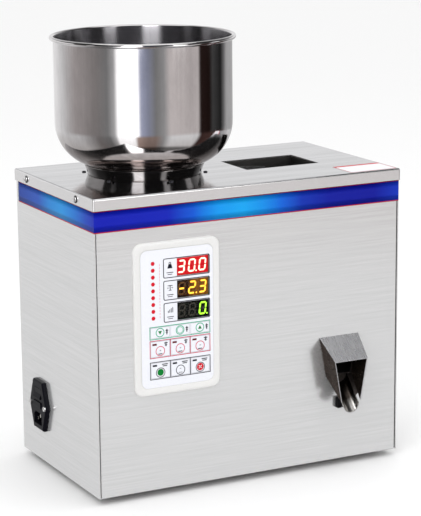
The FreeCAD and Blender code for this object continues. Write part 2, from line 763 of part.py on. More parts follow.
def spout_trough():
    """The half-round trough below the hood: an upright half ring pushed backwards and up."""
    body = new_part("spout_trough")
    inner = "(trough_radius - duct_gauge)"
    feature = pad(body, "front", "spout_front", "front",
                  [("spout_x - trough_radius", "tip_z"), ("spout_x", "tip_z - trough_radius", "trough_radius"),
                   ("spout_x + trough_radius", "tip_z", "trough_radius"), (f"spout_x + {inner}", "tip_z"),
                   ("spout_x", f"tip_z - {inner}", f"-{inner}"), (f"spout_x - {inner}", "tip_z", f"-{inner}")])
    feature.UseCustomVector = True
    feature.Direction = FreeCAD.Vector(0, -1, -1)
    feature.setExpression("Direction.z", formula("-(root_z - tip_z) / spout_reach"))


def bag_switch_body():
    """The housing of the switch below the spout, which the bag or a thumb presses."""
    body = new_part("bag_switch_body")
    pad(body, "front", "switch_face", "panel_back + switch_size / 2",
        box_at("switch_x", "switch_z", "switch_size - fit_gap", "switch_size - fit_gap"))
    cut(body, "front", "switch_face - gauge", "switch_face + switch_slot_depth",
        rectangle("switch_x - switch_lever_width / 2 - fit_gap", "switch_x + switch_lever_width / 2 + fit_gap",
                  "switch_z - switch_size / 2", "switch_z + switch_slot_high"))


def bag_switch_lever():
    """The thin metal lever in the switch's slot, with the rolled knuckle that it turns on at its top."""
    body = new_part("bag_switch_lever")
    top = "switch_z + switch_lever_high"
    foot = "switch_z - switch_lever_low"
    pad(body, "side", "switch_x - switch_lever_width / 2", "switch_x + switch_lever_width / 2",
        [("switch_face - switch_lever_rise", foot), ("switch_face - switch_lever_rise + gauge", foot),
         ("switch_face + gauge", top), ("switch_face", top)])
    pad(body, "side", "switch_x - switch_lever_width / 2", "switch_x + switch_lever_width / 2",
        ("switch_face + gauge / 2", f"{top} - gauge / 2", "gauge * 2 / 3"))


def feeder_level(x, z):
    """Axes along the leaf springs: where a point of the trough's own axes lies in them."""
    return (f"({x}) * cos(spring_angle) + ({z}) * sin(spring_angle)",
            f"({z}) * cos(spring_angle) - ({x}) * sin(spring_angle)")


def spring_body(label):
    """A part drawn in axes that lie along the leaf springs."""
    body = new_part(label)
    tilt(body, ("feeder_x", "tray_y", "feeder_z"), "tray_slope - spring_angle")
    return body


def tray_body(label):
    """A part drawn in axes that lie along the trough."""
    body = new_part(label)
    tilt(body, ("feeder_x", "tray_y", "feeder_z"), "tray_slope")
    return body


def spring_foot(index):
    """The lower end of one leaf spring, in the springs' axes."""
    return feeder_level(f"{index} * spring_spacing", "0")


def lug(low_x, high_x, start, level):
    """A lug from a cut end to the plate or block whose face lies at a level of the trough's axes."""
    def meet(x):
        return f"(({level}) - ({x}) * sin(spring_angle)) / cos(spring_angle)"
    return [(low_x, start), (high_x, start), (high_x, meet(high_x)), (low_x, meet(low_x))]


def feeder_tray():
    """The trough: a folded channel with high cheeks where it ends inside the window duct."""
    body = tray_body("feeder_tray")
    start = "tray_end - tray_length"
    pad(body, "front", "-tray_width / 2", "tray_width / 2",
        [(start, "tray_under"), ("tray_end", "tray_under"), ("tray_end", "tray_under + tray_cheek"),
         ("tray_end - tray_cheek_length", "tray_under + tray_cheek"),
         ("tray_end - tray_cheek_length - tray_wall", "tray_under + tray_wall"),
         (start, "tray_under + tray_wall")])
    cut(body, "front", "-tray_width / 2 + tray_gauge", "tray_width / 2 - tray_gauge",
        rectangle(f"{start} + tray_gauge", "tray_end + tray_gauge",
                  "tray_floor", "tray_under + tray_cheek + tray_gauge"))


def tray_bracket():
    """The plate under the trough with a lug for each spring and an arm for the armature."""
    body = spring_body("tray_bracket")
    plate_left = "-spring_lean - clamp_gauge * 2"
    plate_right = "spring_spacing + lug_gauge"
    under = "tray_under - bracket_gauge"
    pad(body, "front", "-spring_width / 2", "spring_width / 2",
        [feeder_level(plate_left, under), feeder_level(plate_right, under),
         feeder_level(plate_right, "tray_under"), feeder_level(plate_left, "tray_under")])
    for index in (0, 1):
        x, z = spring_foot(index)
        pad(body, "front", "-spring_width / 2", "spring_width / 2",
            lug(f"{x} + spring_gauge / 2", f"{x} + spring_gauge / 2 + lug_gauge",
                f"{z} + spring_length - clamp_height", under))
    pad(body, "front", "-magnet_width / 2", "magnet_width / 2",
        lug("armature_x + armature_gauge", "armature_x + armature_gauge * 2", "magnet_low", under))


def armature_plate():
    """The soft iron plate that the magnet pulls."""
    body = spring_body("armature_plate")
    pad(body, "front", "-magnet_width / 2", "magnet_width / 2",
        rectangle("armature_x", "armature_x + armature_gauge", "magnet_low", "magnet_low + magnet_height"))


def leaf_springs():
    """Two leaning flat springs that guide the trough."""
    body = spring_body("leaf_springs")
    for index in (0, 1):
        x, z = spring_foot(index)
        pad(body, "front", "-spring_width / 2", "spring_width / 2",
            rectangle(f"{x} - spring_gauge / 2", f"{x} + spring_gauge / 2", z, f"{z} + spring_length"))


def spring_clamps(label, low):
    """The plates that clamp one end of each spring to its lug, from a height above its foot."""
    body = spring_body(label)
    for index in (0, 1):
        x, z = spring_foot(index)
        pad(body, "front", "-spring_width / 2", "spring_width / 2",
            rectangle(f"{x} - spring_gauge / 2 - clamp_gauge", f"{x} - spring_gauge / 2",
                      f"{z} + {low}", f"{z} + {low} + clamp_height"))


def feeder_base():
    """The heavy iron block that the springs and the magnet stand on."""
    body = spring_body("feeder_base")
    pad(body, "front", "-block_width / 2", "block_width / 2",
        [feeder_level("block_left", "block_under"), feeder_level("block_right", "block_under"),
         feeder_level("block_right", "block_top"), feeder_level("block_left", "block_top")])
    for index in (0, 1):
        x, z = spring_foot(index)
        pad(body, "front", "-spring_width / 2", "spring_width / 2",
            lug(f"{x} + spring_gauge / 2", f"{x} + spring_gauge / 2 + lug_gauge",
                f"{z} + clamp_height", "block_top"))
    pad(body, "front", "-magnet_width / 2", "magnet_width / 2",
        lug("magnet_left", "magnet_left + magnet_length", "magnet_low", "block_top"))


def coil_core():
    """The magnet's iron core, an E lying on its back, with its limbs towards the armature."""
    body = spring_body("coil_core")
    high = "magnet_low + magnet_height"
    right = "magnet_left + magnet_length"
    pad(body, "front", "-magnet_width / 2", "magnet_width / 2",
        rectangle("magnet_left", right, "magnet_low", high))
    cut(body, "front", "-magnet_width", "magnet_width",
        rectangle("magnet_left + limb", f"{right} + limb", "magnet_low + limb", "magnet_low + limb * 2"),
        rectangle("magnet_left + limb", f"{right} + limb", f"{high} - limb * 2", f"{high} - limb"))


def feeder_coil():
    """The winding round the core's middle limb."""
    body = spring_body("feeder_coil")
    middle = "magnet_low + magnet_height / 2"
    thick = "limb - fit_gap * 2"
    inner = "magnet_height - limb * 4"
    pad(body, "side", "magnet_left + limb + fit_gap", "magnet_left + magnet_length - fit_gap * 3",
        box_at("0", middle, f"magnet_width + fit_gap * 2 + 2 * ({thick})",
               f"{inner} + fit_gap * 2 + 2 * ({thick})"),
        box_at("0", middle, "magnet_width + fit_gap * 2", f"{inner} + fit_gap * 2"))


def feeder_mounts():
    """Four rubber blocks that keep the shaking from the shelf."""
    body = tray_body("feeder_mounts")
    places = [(x, f"{side} * (block_width - mount_size) / 2")
              for x in ("block_left + mount_size / 2", "block_right - mount_size / 2") for side in (-1, 1)]
    pad(body, "top", "mount_under", "block_under",
        *[box_at(x, y, "mount_size", "mount_size") for x, y in places])


def feeder_shelf():
    """A bent shelf with two legs, which carries the feeder above the base plate."""
    body = new_part("feeder_shelf")
    left_x = "(feeder_x + (block_left - shelf_lip) * cos(tray_slope) + mount_under * sin(tray_slope))"
    left_z = "(feeder_z - (block_left - shelf_lip) * sin(tray_slope) + mount_under * cos(tray_slope))"
    right_x = "(feeder_x + (block_right + shelf_lip) * cos(tray_slope) + mount_under * sin(tray_slope))"
    right_z = "(feeder_z - (block_right + shelf_lip) * sin(tray_slope) + mount_under * cos(tray_slope))"
    rise = "shelf_gauge * tan(tray_slope)"
    under = "shelf_gauge / cos(tray_slope)"
    low = "base_top"
    pad(body, "front", "tray_y - block_width / 2", "tray_y + block_width / 2",
        [(f"{left_x} - flange_depth", low), (f"{left_x} + shelf_gauge", low),
         (f"{left_x} + shelf_gauge", f"{left_z} - {rise} - {under}"),
         (f"{right_x} - shelf_gauge", f"{right_z} + {rise} - {under}"),
         (f"{right_x} - shelf_gauge", low), (f"{right_x} + flange_depth", low),
         (f"{right_x} + flange_depth", f"{low} + shelf_gauge"), (right_x, f"{low} + shelf_gauge"),
         (right_x, right_z), (left_x, left_z), (left_x, f"{low} + shelf_gauge"),
         (f"{left_x} - flange_depth", f"{low} + shelf_gauge")])


def weigh_bucket():
    """The bucket: open above, with a floor that slopes to a mouth at the front."""
    body = new_part("weigh_bucket")
    pad(body, "side", "bucket_left", "bucket_right",
        [("bucket_front", "bucket_top"), ("bucket_front", "bucket_low"),
         ("bucket_back", "bucket_top - bucket_back_height"), ("bucket_back", "bucket_top")])
    shell(body, "duct_gauge", lambda normal, at: normal.z > STRAIGHT)
    cut(body, "front", "bucket_front - duct_gauge", "bucket_front + duct_gauge * 2",
        rectangle("bucket_left + duct_gauge * 3", "bucket_right - duct_gauge * 3",
                  "bucket_low + duct_gauge * 3", "hinge_z - hinge_radius * 2"))
    ear = rectangle("hinge_y - hinge_radius", "bucket_front", "hinge_z - hinge_radius", "hinge_z + hinge_radius")
    pad(body, "side", "bucket_left", "bucket_left + duct_gauge", ear)
    pad(body, "side", "bucket_right - duct_gauge", "bucket_right", ear)
    cut(body, "side", "bucket_left - duct_gauge", "bucket_right + duct_gauge",
        ("hinge_y", "hinge_z", "pin_radius + pin_play"))


def bucket_door():
    """The flap over the bucket's mouth with its hinge tube along the top."""
    body = new_part("bucket_door")
    low = "bucket_left + duct_gauge + fit_gap"
    high = "bucket_right - duct_gauge - fit_gap"
    pad(body, "side", low, high,
        rectangle("bucket_front - fit_gap - door_gauge", "bucket_front - fit_gap", "bucket_low", "hinge_z"))
    pad(body, "side", low, high, ("hinge_y", "hinge_z", "hinge_radius"))
    cut(body, "side", "bucket_left", "bucket_right", ("hinge_y", "hinge_z", "pin_radius"))


def door_pin():
    """The hinge pin, pressed into the flap and the lever."""
    body = new_part("door_pin")
    pad(body, "side", "plunger_x - lever_gauge", "bucket_right + duct_gauge",
        ("hinge_y", "hinge_z", "pin_radius"))


def door_lever():
    """The lever on the pin's end, which the plunger pulls back to open the flap."""
    body = new_part("door_lever")
    pad(body, "side", "plunger_x - lever_gauge / 2", "plunger_x + lever_gauge / 2",
        [("hinge_y - hinge_radius", "hinge_z - hinge_radius"),
         ("hinge_y + hinge_radius", "hinge_z - hinge_radius"),
         ("hinge_y + hinge_radius", "hinge_z + hinge_radius"),
         ("hinge_y + lever_gauge / 2", "hinge_z + hinge_radius * 2"),
         ("hinge_y + lever_gauge / 2", "hinge_z + lever_length"),
         ("hinge_y - lever_gauge / 2", "hinge_z + lever_length"),
         ("hinge_y - lever_gauge / 2", "hinge_z + hinge_radius * 2"),
         ("hinge_y - hinge_radius", "hinge_z + hinge_radius")],
        ("hinge_y", "hinge_z", "pin_radius"))


def door_solenoid():
    """The pull magnet on the bucket's side."""
    body = new_part("door_solenoid")
    start = "hinge_y + solenoid_gap"
    pad(body, "front", start, f"{start} + solenoid_length",
        box_at("plunger_x", "plunger_z", "solenoid_size", "solenoid_size"),
        ("plunger_x", "plunger_z", "plunger_radius + fit_gap"))


def solenoid_plunger():
    """The plunger, with a slot near its front end that the lever passes through."""
    body = new_part("solenoid_plunger")
    pad(body, "front", "hinge_y - fork_front - fork_wall", "hinge_y + solenoid_gap + plunger_inside",
        ("plunger_x", "plunger_z", "plunger_radius"))
    cut(body, "top", "plunger_z - plunger_radius * 2", "plunger_z + plunger_radius * 2",
        rectangle("plunger_x - lever_gauge / 2 - fit_gap", "plunger_x + lever_gauge / 2 + fit_gap",
                  "hinge_y - fork_front", "hinge_y + fork_back"))


def bucket_bracket():
    """The angle that hangs the bucket on the load cell's free end."""
    body = new_part("bucket_bracket")
    pad(body, "side", "cell_right - bracket_width", "cell_right",
        [("bucket_back", "cell_top"), ("cell_y + cell_width / 2", "cell_top"),
         ("cell_y + cell_width / 2", "cell_top + bracket_gauge"),
         ("bucket_back + bracket_gauge", "cell_top + bracket_gauge"),
         ("bucket_back + bracket_gauge", "bucket_top - bracket_gauge"),
         ("bucket_back", "bucket_top - bracket_gauge")])


def load_cell():
    """A single-point load cell: an aluminium bar, weakened by two joined bores."""
    body = new_part("load_cell")
    middle = "(cell_left + cell_right) / 2"
    height = "cell_top - cell_height / 2"
    pad(body, "front", "cell_y - cell_width / 2", "cell_y + cell_width / 2",
        rectangle("cell_left", "cell_right", "cell_top - cell_height", "cell_top"),
        (f"{middle} - cell_hole_spacing / 2", height, "cell_hole_radius"),
        (f"{middle} + cell_hole_spacing / 2", height, "cell_hole_radius"))
    cut(body, "front", "cell_y - cell_width", "cell_y + cell_width",
        box_at(middle, height, "cell_hole_spacing", "cell_slot"))


def load_cell_stand():
    """A folded post with a foot and a head plate under the load cell's fixed end."""
    body = new_part("load_cell_stand")
    top = "cell_top - cell_height"
    x_low = "cell_left - stand_gauge"
    x_high = "cell_left + stand_reach"
    y_low = "cell_y - cell_width"
    y_high = "cell_y + cell_width"
    pad(body, "top", "base_top", top,
        [(x_low, y_low), (x_high, y_low), (x_high, f"{y_low} + stand_gauge"),
         (f"{x_low} + stand_gauge", f"{y_low} + stand_gauge"),
         (f"{x_low} + stand_gauge", f"{y_high} - stand_gauge"), (x_high, f"{y_high} - stand_gauge"),
         (x_high, y_high), (x_low, y_high)])
    pad(body, "top", f"{top} - stand_gauge", top, rectangle(x_low, x_high, y_low, y_high))
    pad(body, "top", "base_top", "base_top + stand_gauge",
        rectangle(f"{x_low} - flange_depth / 2", f"{x_high} + flange_depth / 2",
                  f"{y_low} - flange_depth / 2", f"{y_high} + flange_depth / 2"))


def bezel_inside(margin, face_low, face_high):
    """A level range and rectangle inside the bezel, at a margin from its outline."""
    return ("front", face_low, face_high,
            rectangle(f"bezel_left + {margin}", f"bezel_right - ({margin})",
                      f"bezel_low + {margin}", f"bezel_high - ({margin})"))


def keypad_bezel():
    """The moulded frame of the keypad, rounded at its corners, with a ledge for the film."""
    body = new_part("keypad_bezel")
    pad(body, *bezel_inside("0", "bezel_face", "front"))
    soften(body, "bezel_corner", lambda edge, at: near(at.y, "(bezel_face + front) / 2"))
    soften(body, "film_depth", lambda edge, at: near(at.y, "bezel_face"), "Chamfer")
    cut(body, *bezel_inside("bezel_rim", "bezel_face - film_depth", "film_back"))
    cut(body, *bezel_inside("bezel_rim + bezel_ledge", "bezel_face - film_depth", "front + gauge"))


def key_places():
    """Name, centre and height of each key, seen from the front."""
    names = ("down", "stop", "up", "left", "set", "right", "start", "clear", "cancel")
    rows = (("key_row_a", "key_height_a"), ("key_row_b", "key_height"), ("key_row_c", "key_height"))
    places = []
    for index, name in enumerate(names):
        column = f"left + key_from_left + {index % 3 - 1} * key_pitch"
        row, height = rows[index // 3]
        places.append((name, column, f"foot_height + {row}", height))
    return places


def display_places():
    """The centres of the three displays."""
    return [("display_x", f"foot_height + display_top - {row} * display_pitch") for row in range(3)]


def keypad_film():
    """The printed front sheet with its openings for displays and keys."""
    body = new_part("keypad_film")
    pad(body, *bezel_inside("bezel_rim + fit_gap", "film_face", "film_back"))
    cut(body, "front", "film_face - film_gauge", "film_back + film_gauge",
        *[box_at(x, z, "display_width", "display_height") for x, z in display_places()],
        *[box_at(x, z, "key_width + fit_gap * 2", f"{height} + fit_gap * 2")
          for name, x, z, height in key_places()])


def display_windows():
    """Three clear panes in the film."""
    body = new_part("display_windows")
    pad(body, "front", "film_face", "film_back + film_gauge",
        *[box_at(x, z, "display_width", "display_height") for x, z in display_places()])


def display_modules():
    """Three blocks of light-up digits, which stand on the control board."""
    body = new_part("display_modules")
    pad(body, "front", "film_back + film_gauge + fit_gap", "board_front",
        *[box_at(x, z, "display_width - fit_gap * 4", "display_height - fit_gap * 2")
          for x, z in display_places()])


def control_board():
    """The board behind the keypad, with a small press switch behind each key."""
    body = new_part("control_board")
    pad(body, *bezel_inside("gauge", "board_front", "board_front + board_gauge"))
    pad(body, "front", "board_front - switch_body / 2", "board_front",
        *[box_at(x, z, "switch_body", "switch_body") for name, x, z, height in key_places()])
    pad(body, "front", "board_front + board_gauge", "board_front + board_gauge + switch_body",
        box_at("display_x", "bezel_low + bezel_rim * 4", "display_width", "switch_body * 2"))


def board_spacers():
    """Four posts that hold the control board behind the front panel."""
    body = new_part("board_spacers")
    corner = "bezel_rim + fit_gap"
    pad(body, "front", "panel_back", "board_front",
        *[hexagon(x, z, "standoff_radius")
          for x in (f"bezel_left + {corner}", f"bezel_right - ({corner})")
          for z in (f"bezel_low + {corner}", f"bezel_high - ({corner})")])


def key_button(name, x, z, height):
    """One key of the film: a plate in the film's opening with a stem towards its switch."""
    body = new_part(f"key_{name}")
    pad(body, "front", "film_face", "film_back + film_gauge", box_at(x, z, "key_width", height))
    pad(body, "front", "film_back + film_gauge", "board_front - switch_body / 2 - switch_gap",
        box_at(x, z, "key_stem", "key_stem"))


def inlet_outline(width, top_width, length):
    """The flange's six corners, widest at mid height."""
    return [(f"inlet_y - ({width}) / 2", "inlet_z"),
            (f"inlet_y - ({top_width}) / 2", f"inlet_z - ({length}) / 2"),
            (f"inlet_y + ({top_width}) / 2", f"inlet_z - ({length}) / 2"),
            (f"inlet_y + ({width}) / 2", "inlet_z"),
            (f"inlet_y + ({top_width}) / 2", f"inlet_z + ({length}) / 2"),
            (f"inlet_y - ({top_width}) / 2", f"inlet_z + ({length}) / 2")]


def socket_outline(margin):
    """The mains socket's outline, with its two sloping upper corners."""
    half = f"socket_width / 2 + {margin}"
    rise = f"socket_height / 2 + {margin}"
    return [(f"inlet_y - ({half})", f"socket_z - ({rise})"),
            (f"inlet_y + {half}", f"socket_z - ({rise})"),
            (f"inlet_y + {half}", f"socket_z + {rise} - socket_corner"),
            (f"inlet_y + {half} - socket_corner", f"socket_z + {rise}"),
            (f"inlet_y - ({half}) + socket_corner", f"socket_z + {rise}"),
            (f"inlet_y - ({half})", f"socket_z + {rise} - socket_corner")]


def inlet_body():
    """The moulded inlet: flange, socket, and the openings of the fuse drawer and the rocker."""
    body = new_part("inlet_body")
    pad(body, "side", "inlet_face", "left", inlet_outline("inlet_width", "inlet_top_width", "inlet_length"))
    soften(body, "inlet_rim / 2", lambda edge, at: near(at.x, "inlet_face"), "Chamfer")
    pad(body, "side", "left", "left + inlet_body_depth",
        box_at("inlet_y", "inlet_z", "inlet_body_width", "inlet_body_length"))
    cut(body, "side", "inlet_face - gauge", "inlet_face + socket_depth", socket_outline("0"))
    cut(body, "side", "inlet_face - gauge", "inlet_face + drawer_depth + gauge",
        box_at("inlet_y", "drawer_z", "drawer_width + fit_gap * 2", "drawer_height + fit_gap * 2"))
    cut(body, "side", "inlet_face - gauge", "inlet_face + rocker_height",
        box_at("inlet_y", "rocker_z", "rocker_width + fit_gap * 2", "rocker_height + fit_gap * 2"))
    cut(body, "side", "inlet_face + socket_depth - gauge", "left + inlet_body_depth + gauge", *pin_outlines())


def pin_outlines():
    """The three flat pins, drawn on the side view."""
    return [box_at("inlet_y", "socket_z + pin_offset", "pin_gauge", "pin_width"),
            box_at("inlet_y - pin_spacing", "socket_z - pin_offset", "pin_gauge", "pin_width"),
            box_at("inlet_y + pin_spacing", "socket_z - pin_offset", "pin_gauge", "pin_width")]


def inlet_pins():
    """Three flat pins, which stand in the socket and end as tags behind the inlet."""
    body = new_part("inlet_pins")
    pad(body, "side", "inlet_face + inlet_wall * 2", "left + inlet_body_depth + pin_width", *pin_outlines())


def power_rocker():
    """The mains rocker: a shallow V whose one wing stands out of the flange."""
    body = new_part("power_rocker")
    tilt(body, ("inlet_face + rocker_pivot", "inlet_y", "rocker_z"), "rocker_tilt")
    pad(body, "front", "-rocker_width / 2", "rocker_width / 2", ("0", "0", "rocker_height / 2"))
    cut(body, "front", "-rocker_width", "rocker_width",
        [("-rocker_height", "-rocker_height"), ("-(rocker_dip + rocker_wing)", "-rocker_height / 2"),
         ("-rocker_dip", "0"), ("-(rocker_dip + rocker_wing)", "rocker_height / 2"),
         ("-rocker_height", "rocker_height")],
        rectangle("rocker_height / 3", "rocker_height", "-rocker_height / 2", "rocker_height / 2"))


def fuse_drawer():
    """The fuse drawer with a lip at its front."""
    body = new_part("fuse_drawer")
    pad(body, "side", "inlet_face - drawer_lip", "inlet_face + drawer_depth",
        box_at("inlet_y", "drawer_z", "drawer_width", "drawer_height"))
    cut(body, "top", "drawer_z - drawer_height / 4", "drawer_z + drawer_height",
        rectangle("inlet_face + inlet_wall", "inlet_face + drawer_depth - inlet_wall",
                  "inlet_y - drawer_height / 2", "inlet_y + drawer_height / 2"))


def mains_transformer():
    """The mains transformer: a laminated core whose winding bulges out in front and behind."""
    body = new_part("mains_transformer")
    x = "left + transformer_from_left"
    y = "back - transformer_from_back"
    high = "base_top + transformer_height"
    window = "transformer_width / 6"
    pad(body, "front", f"{y} - transformer_depth / 2", f"{y} + transformer_depth / 2",
        rectangle(f"{x} - transformer_width / 2", f"{x} + transformer_width / 2", "base_top", high))
    pad(body, "top", f"base_top + {window}", f"{high} - {window}",
        box_at(x, y, f"{window} * 4", "transformer_depth + coil_bulge * 2"))


def driver_corners():
    """Where the four posts of the driver board stand."""
    return [(f"left + driver_from_left + {x_sign} * (driver_width / 2 - standoff_radius * 2)",
             f"front + driver_from_front + {y_sign} * (driver_depth / 2 - standoff_radius * 2)")
            for x_sign in (-1, 1) for y_sign in (-1, 1)]


def driver_board():
    """The power board on its four posts, with a relay, a heat sink and a capacitor."""
    body = new_part("driver_board")
    x = "left + driver_from_left"
    y = "front + driver_from_front"
    low = "base_top + standoff_height"
    top = f"{low} + board_gauge"
    pad(body, "top", "base_top", low, *[hexagon(at_x, at_y, "standoff_radius") for at_x, at_y in driver_corners()])
    pad(body, "top", low, top, box_at(x, y, "driver_width", "driver_depth"))
    pad(body, "top", top, f"{top} + standoff_height * 2",
        box_at(f"{x} - driver_width / 4", y, "driver_width / 5", "driver_depth / 3"),
        box_at(f"{x} + driver_width / 3", y, "driver_width / 12", "driver_depth / 2"),
        (f"{x} + driver_width / 12", y, "capacitor_radius"))


side_and_back_wrap()
front_panel()
base_plate()
top_lid()
rubber_feet()
hopper_bowl()
hopper_collar()
feed_funnel()
window_duct()
discharge_chute()
spout_hood()
spout_trough()
bag_switch_body()
bag_switch_lever()
feeder_tray()
tray_bracket()
armature_plate()
leaf_springs()
spring_clamps("base_spring_clamps", "0")
spring_clamps("tray_spring_clamps", "spring_length - clamp_height")
feeder_base()
coil_core()
feeder_coil()
feeder_mounts()
feeder_shelf()
weigh_bucket()
bucket_door()
door_pin()
door_lever()
door_solenoid()
solenoid_plunger()
bucket_bracket()
load_cell()
load_cell_stand()
keypad_bezel()
keypad_film()
display_windows()
display_modules()
control_board()
board_spacers()
for key in key_places():
    key_button(*key)
inlet_body()
inlet_pins()
power_rocker()
fuse_drawer()
mains_transformer()
driver_board()

document.recompute()
faults = [item.Name for item in document.Objects if {"Invalid", "Error"} & set(item.State)]
for body in parts:
    if body.Shape.isNull() or not body.Shape.isValid() or not body.Shape.Solids:
        faults.append(body.Label)
if faults:
    raise RuntimeError("failed: " + ", ".join(faults))

os.makedirs("parts", exist_ok=True)
for body in parts:
    body.Shape.exportStep(f"parts/{body.Label}.step")
    print(f"{body.Label}: {len(body.Shape.Solids)} solids, {body.Shape.Volume / 1000:.2f} cm3")
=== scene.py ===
# %% [markdown]
# # Dressing a weighing filling machine
# The solids of the machine were made in CAD and packed. This lesson gives them their looks. It loads
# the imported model, makes the camera and the studio, paints the metals and plastics from nodes, and
# adds what is too fine for the solids: the spun bowl's true curves, the printed band and keypad,
# the digits, the screws and the windings. Lengths are in metres, and Z points up.

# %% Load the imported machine
import math

import bmesh
import bpy
import numpy as np
from mathutils import Matrix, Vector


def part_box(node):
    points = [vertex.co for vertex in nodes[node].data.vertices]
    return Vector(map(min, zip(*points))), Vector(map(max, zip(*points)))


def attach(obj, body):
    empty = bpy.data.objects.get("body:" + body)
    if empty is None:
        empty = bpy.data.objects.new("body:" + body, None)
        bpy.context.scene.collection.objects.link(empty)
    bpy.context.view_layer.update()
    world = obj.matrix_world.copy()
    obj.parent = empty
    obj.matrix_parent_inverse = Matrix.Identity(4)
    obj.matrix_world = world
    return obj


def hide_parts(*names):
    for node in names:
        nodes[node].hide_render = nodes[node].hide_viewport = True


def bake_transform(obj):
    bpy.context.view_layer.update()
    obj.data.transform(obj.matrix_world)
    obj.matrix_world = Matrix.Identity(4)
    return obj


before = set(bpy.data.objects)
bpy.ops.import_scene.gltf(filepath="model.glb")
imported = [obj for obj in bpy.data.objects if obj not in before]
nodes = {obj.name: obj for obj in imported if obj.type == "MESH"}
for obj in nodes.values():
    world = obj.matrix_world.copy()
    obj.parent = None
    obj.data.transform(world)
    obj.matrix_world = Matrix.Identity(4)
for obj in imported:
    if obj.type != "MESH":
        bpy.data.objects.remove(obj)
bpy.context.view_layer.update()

# %% [markdown]
# ## Sizes
# The new pieces sit on the solids, so the few sizes that they share are written down once, in
# millimetres as on a drawing, and turned into metres where a mesh is made.

# %% Shared sizes in millimetres
MM = 0.001
CABINET = {"left": -190.0, "right": 190.0, "front": -109.5, "back": 109.5}
LID_TOP = 341.5
LID_SKIRT = 328.2
HOPPER = np.array([-71.9, 13.0])
FILM_FACE = -111.7
INLET = {"x": -195.5, "y": 49.2, "z": 75.0}
KEY_COLUMNS = (-115.3, -91.0, -66.7)
DISPLAY_ROWS = (258.0, 233.3, 208.6)
DISPLAY_X = -74.5
SPOUT_X = 111.8
print("hopper axis:", HOPPER, "film at y", FILM_FACE)

# %% [markdown]
# ## Camera
# The photograph was taken from the front left, a little above the machine. The camera's place and
# turn were found by fitting the cabinet's edges, so the render can be laid over the photograph.
# The lens is long, so the perspective is gentle.

# %% The camera
FOCAL_LENGTH = 143.4
CAMERA_PLACE = (-1.0521, -2.0635, 0.7506)
YAW, PITCH, ROLL = (math.radians(angle) for angle in (27.11, -12.52, -0.51))


def looking(yaw, pitch, roll):
    """Three columns: the image's right, its up, and straight back. Right and up are level and
    square to the view first, and then both turn by the roll about it."""
    ahead = np.array([math.sin(yaw) * math.cos(pitch), math.cos(yaw) * math.cos(pitch), math.sin(pitch)])
    level = np.array([math.cos(yaw), -math.sin(yaw), 0.0])
    upward = np.cross(level, ahead)
    right = math.cos(roll) * level + math.sin(roll) * upward
    up = -math.sin(roll) * level + math.cos(roll) * upward
    return np.stack([right, up, -ahead], axis=1)


turn = np.eye(4)
turn[:3, :3] = looking(YAW, PITCH, ROLL)
turn[:3, 3] = CAMERA_PLACE
camera = bpy.data.objects.new("camera", bpy.data.cameras.new("camera"))
bpy.context.scene.collection.objects.link(camera)
camera.matrix_world = Matrix(turn.tolist())
camera.data.lens = FOCAL_LENGTH
camera.data.sensor_width = 36.0
camera.data.clip_end = 50.0
bpy.context.scene.camera = camera
print("camera at", CAMERA_PLACE)

# %% [markdown]
# ## Nodes in few words
# A finish is a small tree of nodes. This helper makes one node and fills its sockets, either with a
# value or with a link to another node's output, so that a tree reads like a recipe.

# %% A helper for nodes
def add(tree, kind, settings=None, **sockets):
    """One node. Settings are its own fields. A socket takes a value or another node's output, and
    an underscore in its name stands for a space."""
    made = tree.nodes.new("ShaderNode" + kind)
    for field, value in (settings or {}).items():
        setattr(made, field, value)
    for name, value in sockets.items():
        socket = made.inputs[name.replace("_", " ")]
        if isinstance(value, bpy.types.NodeSocket):
            tree.links.new(value, socket)
        else:
            socket.default_value = value
    return made


def maths(tree, operation, first, second=0.0, third=None):
    """The output of a Math node: the operation on one, two or three values or outputs."""
    made = tree.nodes.new("ShaderNodeMath")
    made.operation = operation
    for socket, value in zip(made.inputs, (first, second, third)):
        if isinstance(value, bpy.types.NodeSocket):
            tree.links.new(value, socket)
        elif value is not None:
            socket.default_value = value
    return made.outputs[0]


def ramp(tree, driver, stops, interpolation="LINEAR"):
    """A ColorRamp that reads the driver, with stops given as (place, colour)."""
    made = tree.nodes.new("ShaderNodeValToRGB")
    made.color_ramp.interpolation = interpolation
    elements = made.color_ramp.elements
    while len(elements) < len(stops):
        elements.new(0.5)
    for element, (place, colour) in zip(elements, stops):
        element.position = place
        element.color = (*colour, 1.0) if len(colour) == 3 else colour
    tree.links.new(driver, made.inputs[0])
    return made.outputs[0]


def level(value):
    """A grey as a colour."""
    return (value, value, value)


print("node helpers ready")

# %% [markdown]
# ## Studio
# Polished metal shows the room more than itself, so the room is made first. A round curtain stands
# about the machine: white cloth, grey cloth, a bright soft box and a black board follow each other
# round it, as the bowl in the photograph shows them. Only mirror-like surfaces see the curtain. It
# casts no shadow, and the camera looks through it on to a pale floor and a white world. The cloth
# hangs on below the floor, which mirrors don't see, so the bowl's round bottom finds a dark pit there.

# %% White world and soft lamps
world = bpy.data.worlds.new("studio")
bpy.context.scene.world = world
world.use_nodes = True
world.node_tree.nodes["Background"].inputs["Color"].default_value = (1.0, 1.0, 1.0, 1.0)
world.node_tree.nodes["Background"].inputs["Strength"].default_value = 1.0
# the plain transform keeps white paper white and the printed inks as they are mixed
bpy.context.scene.view_settings.view_transform = "Standard"


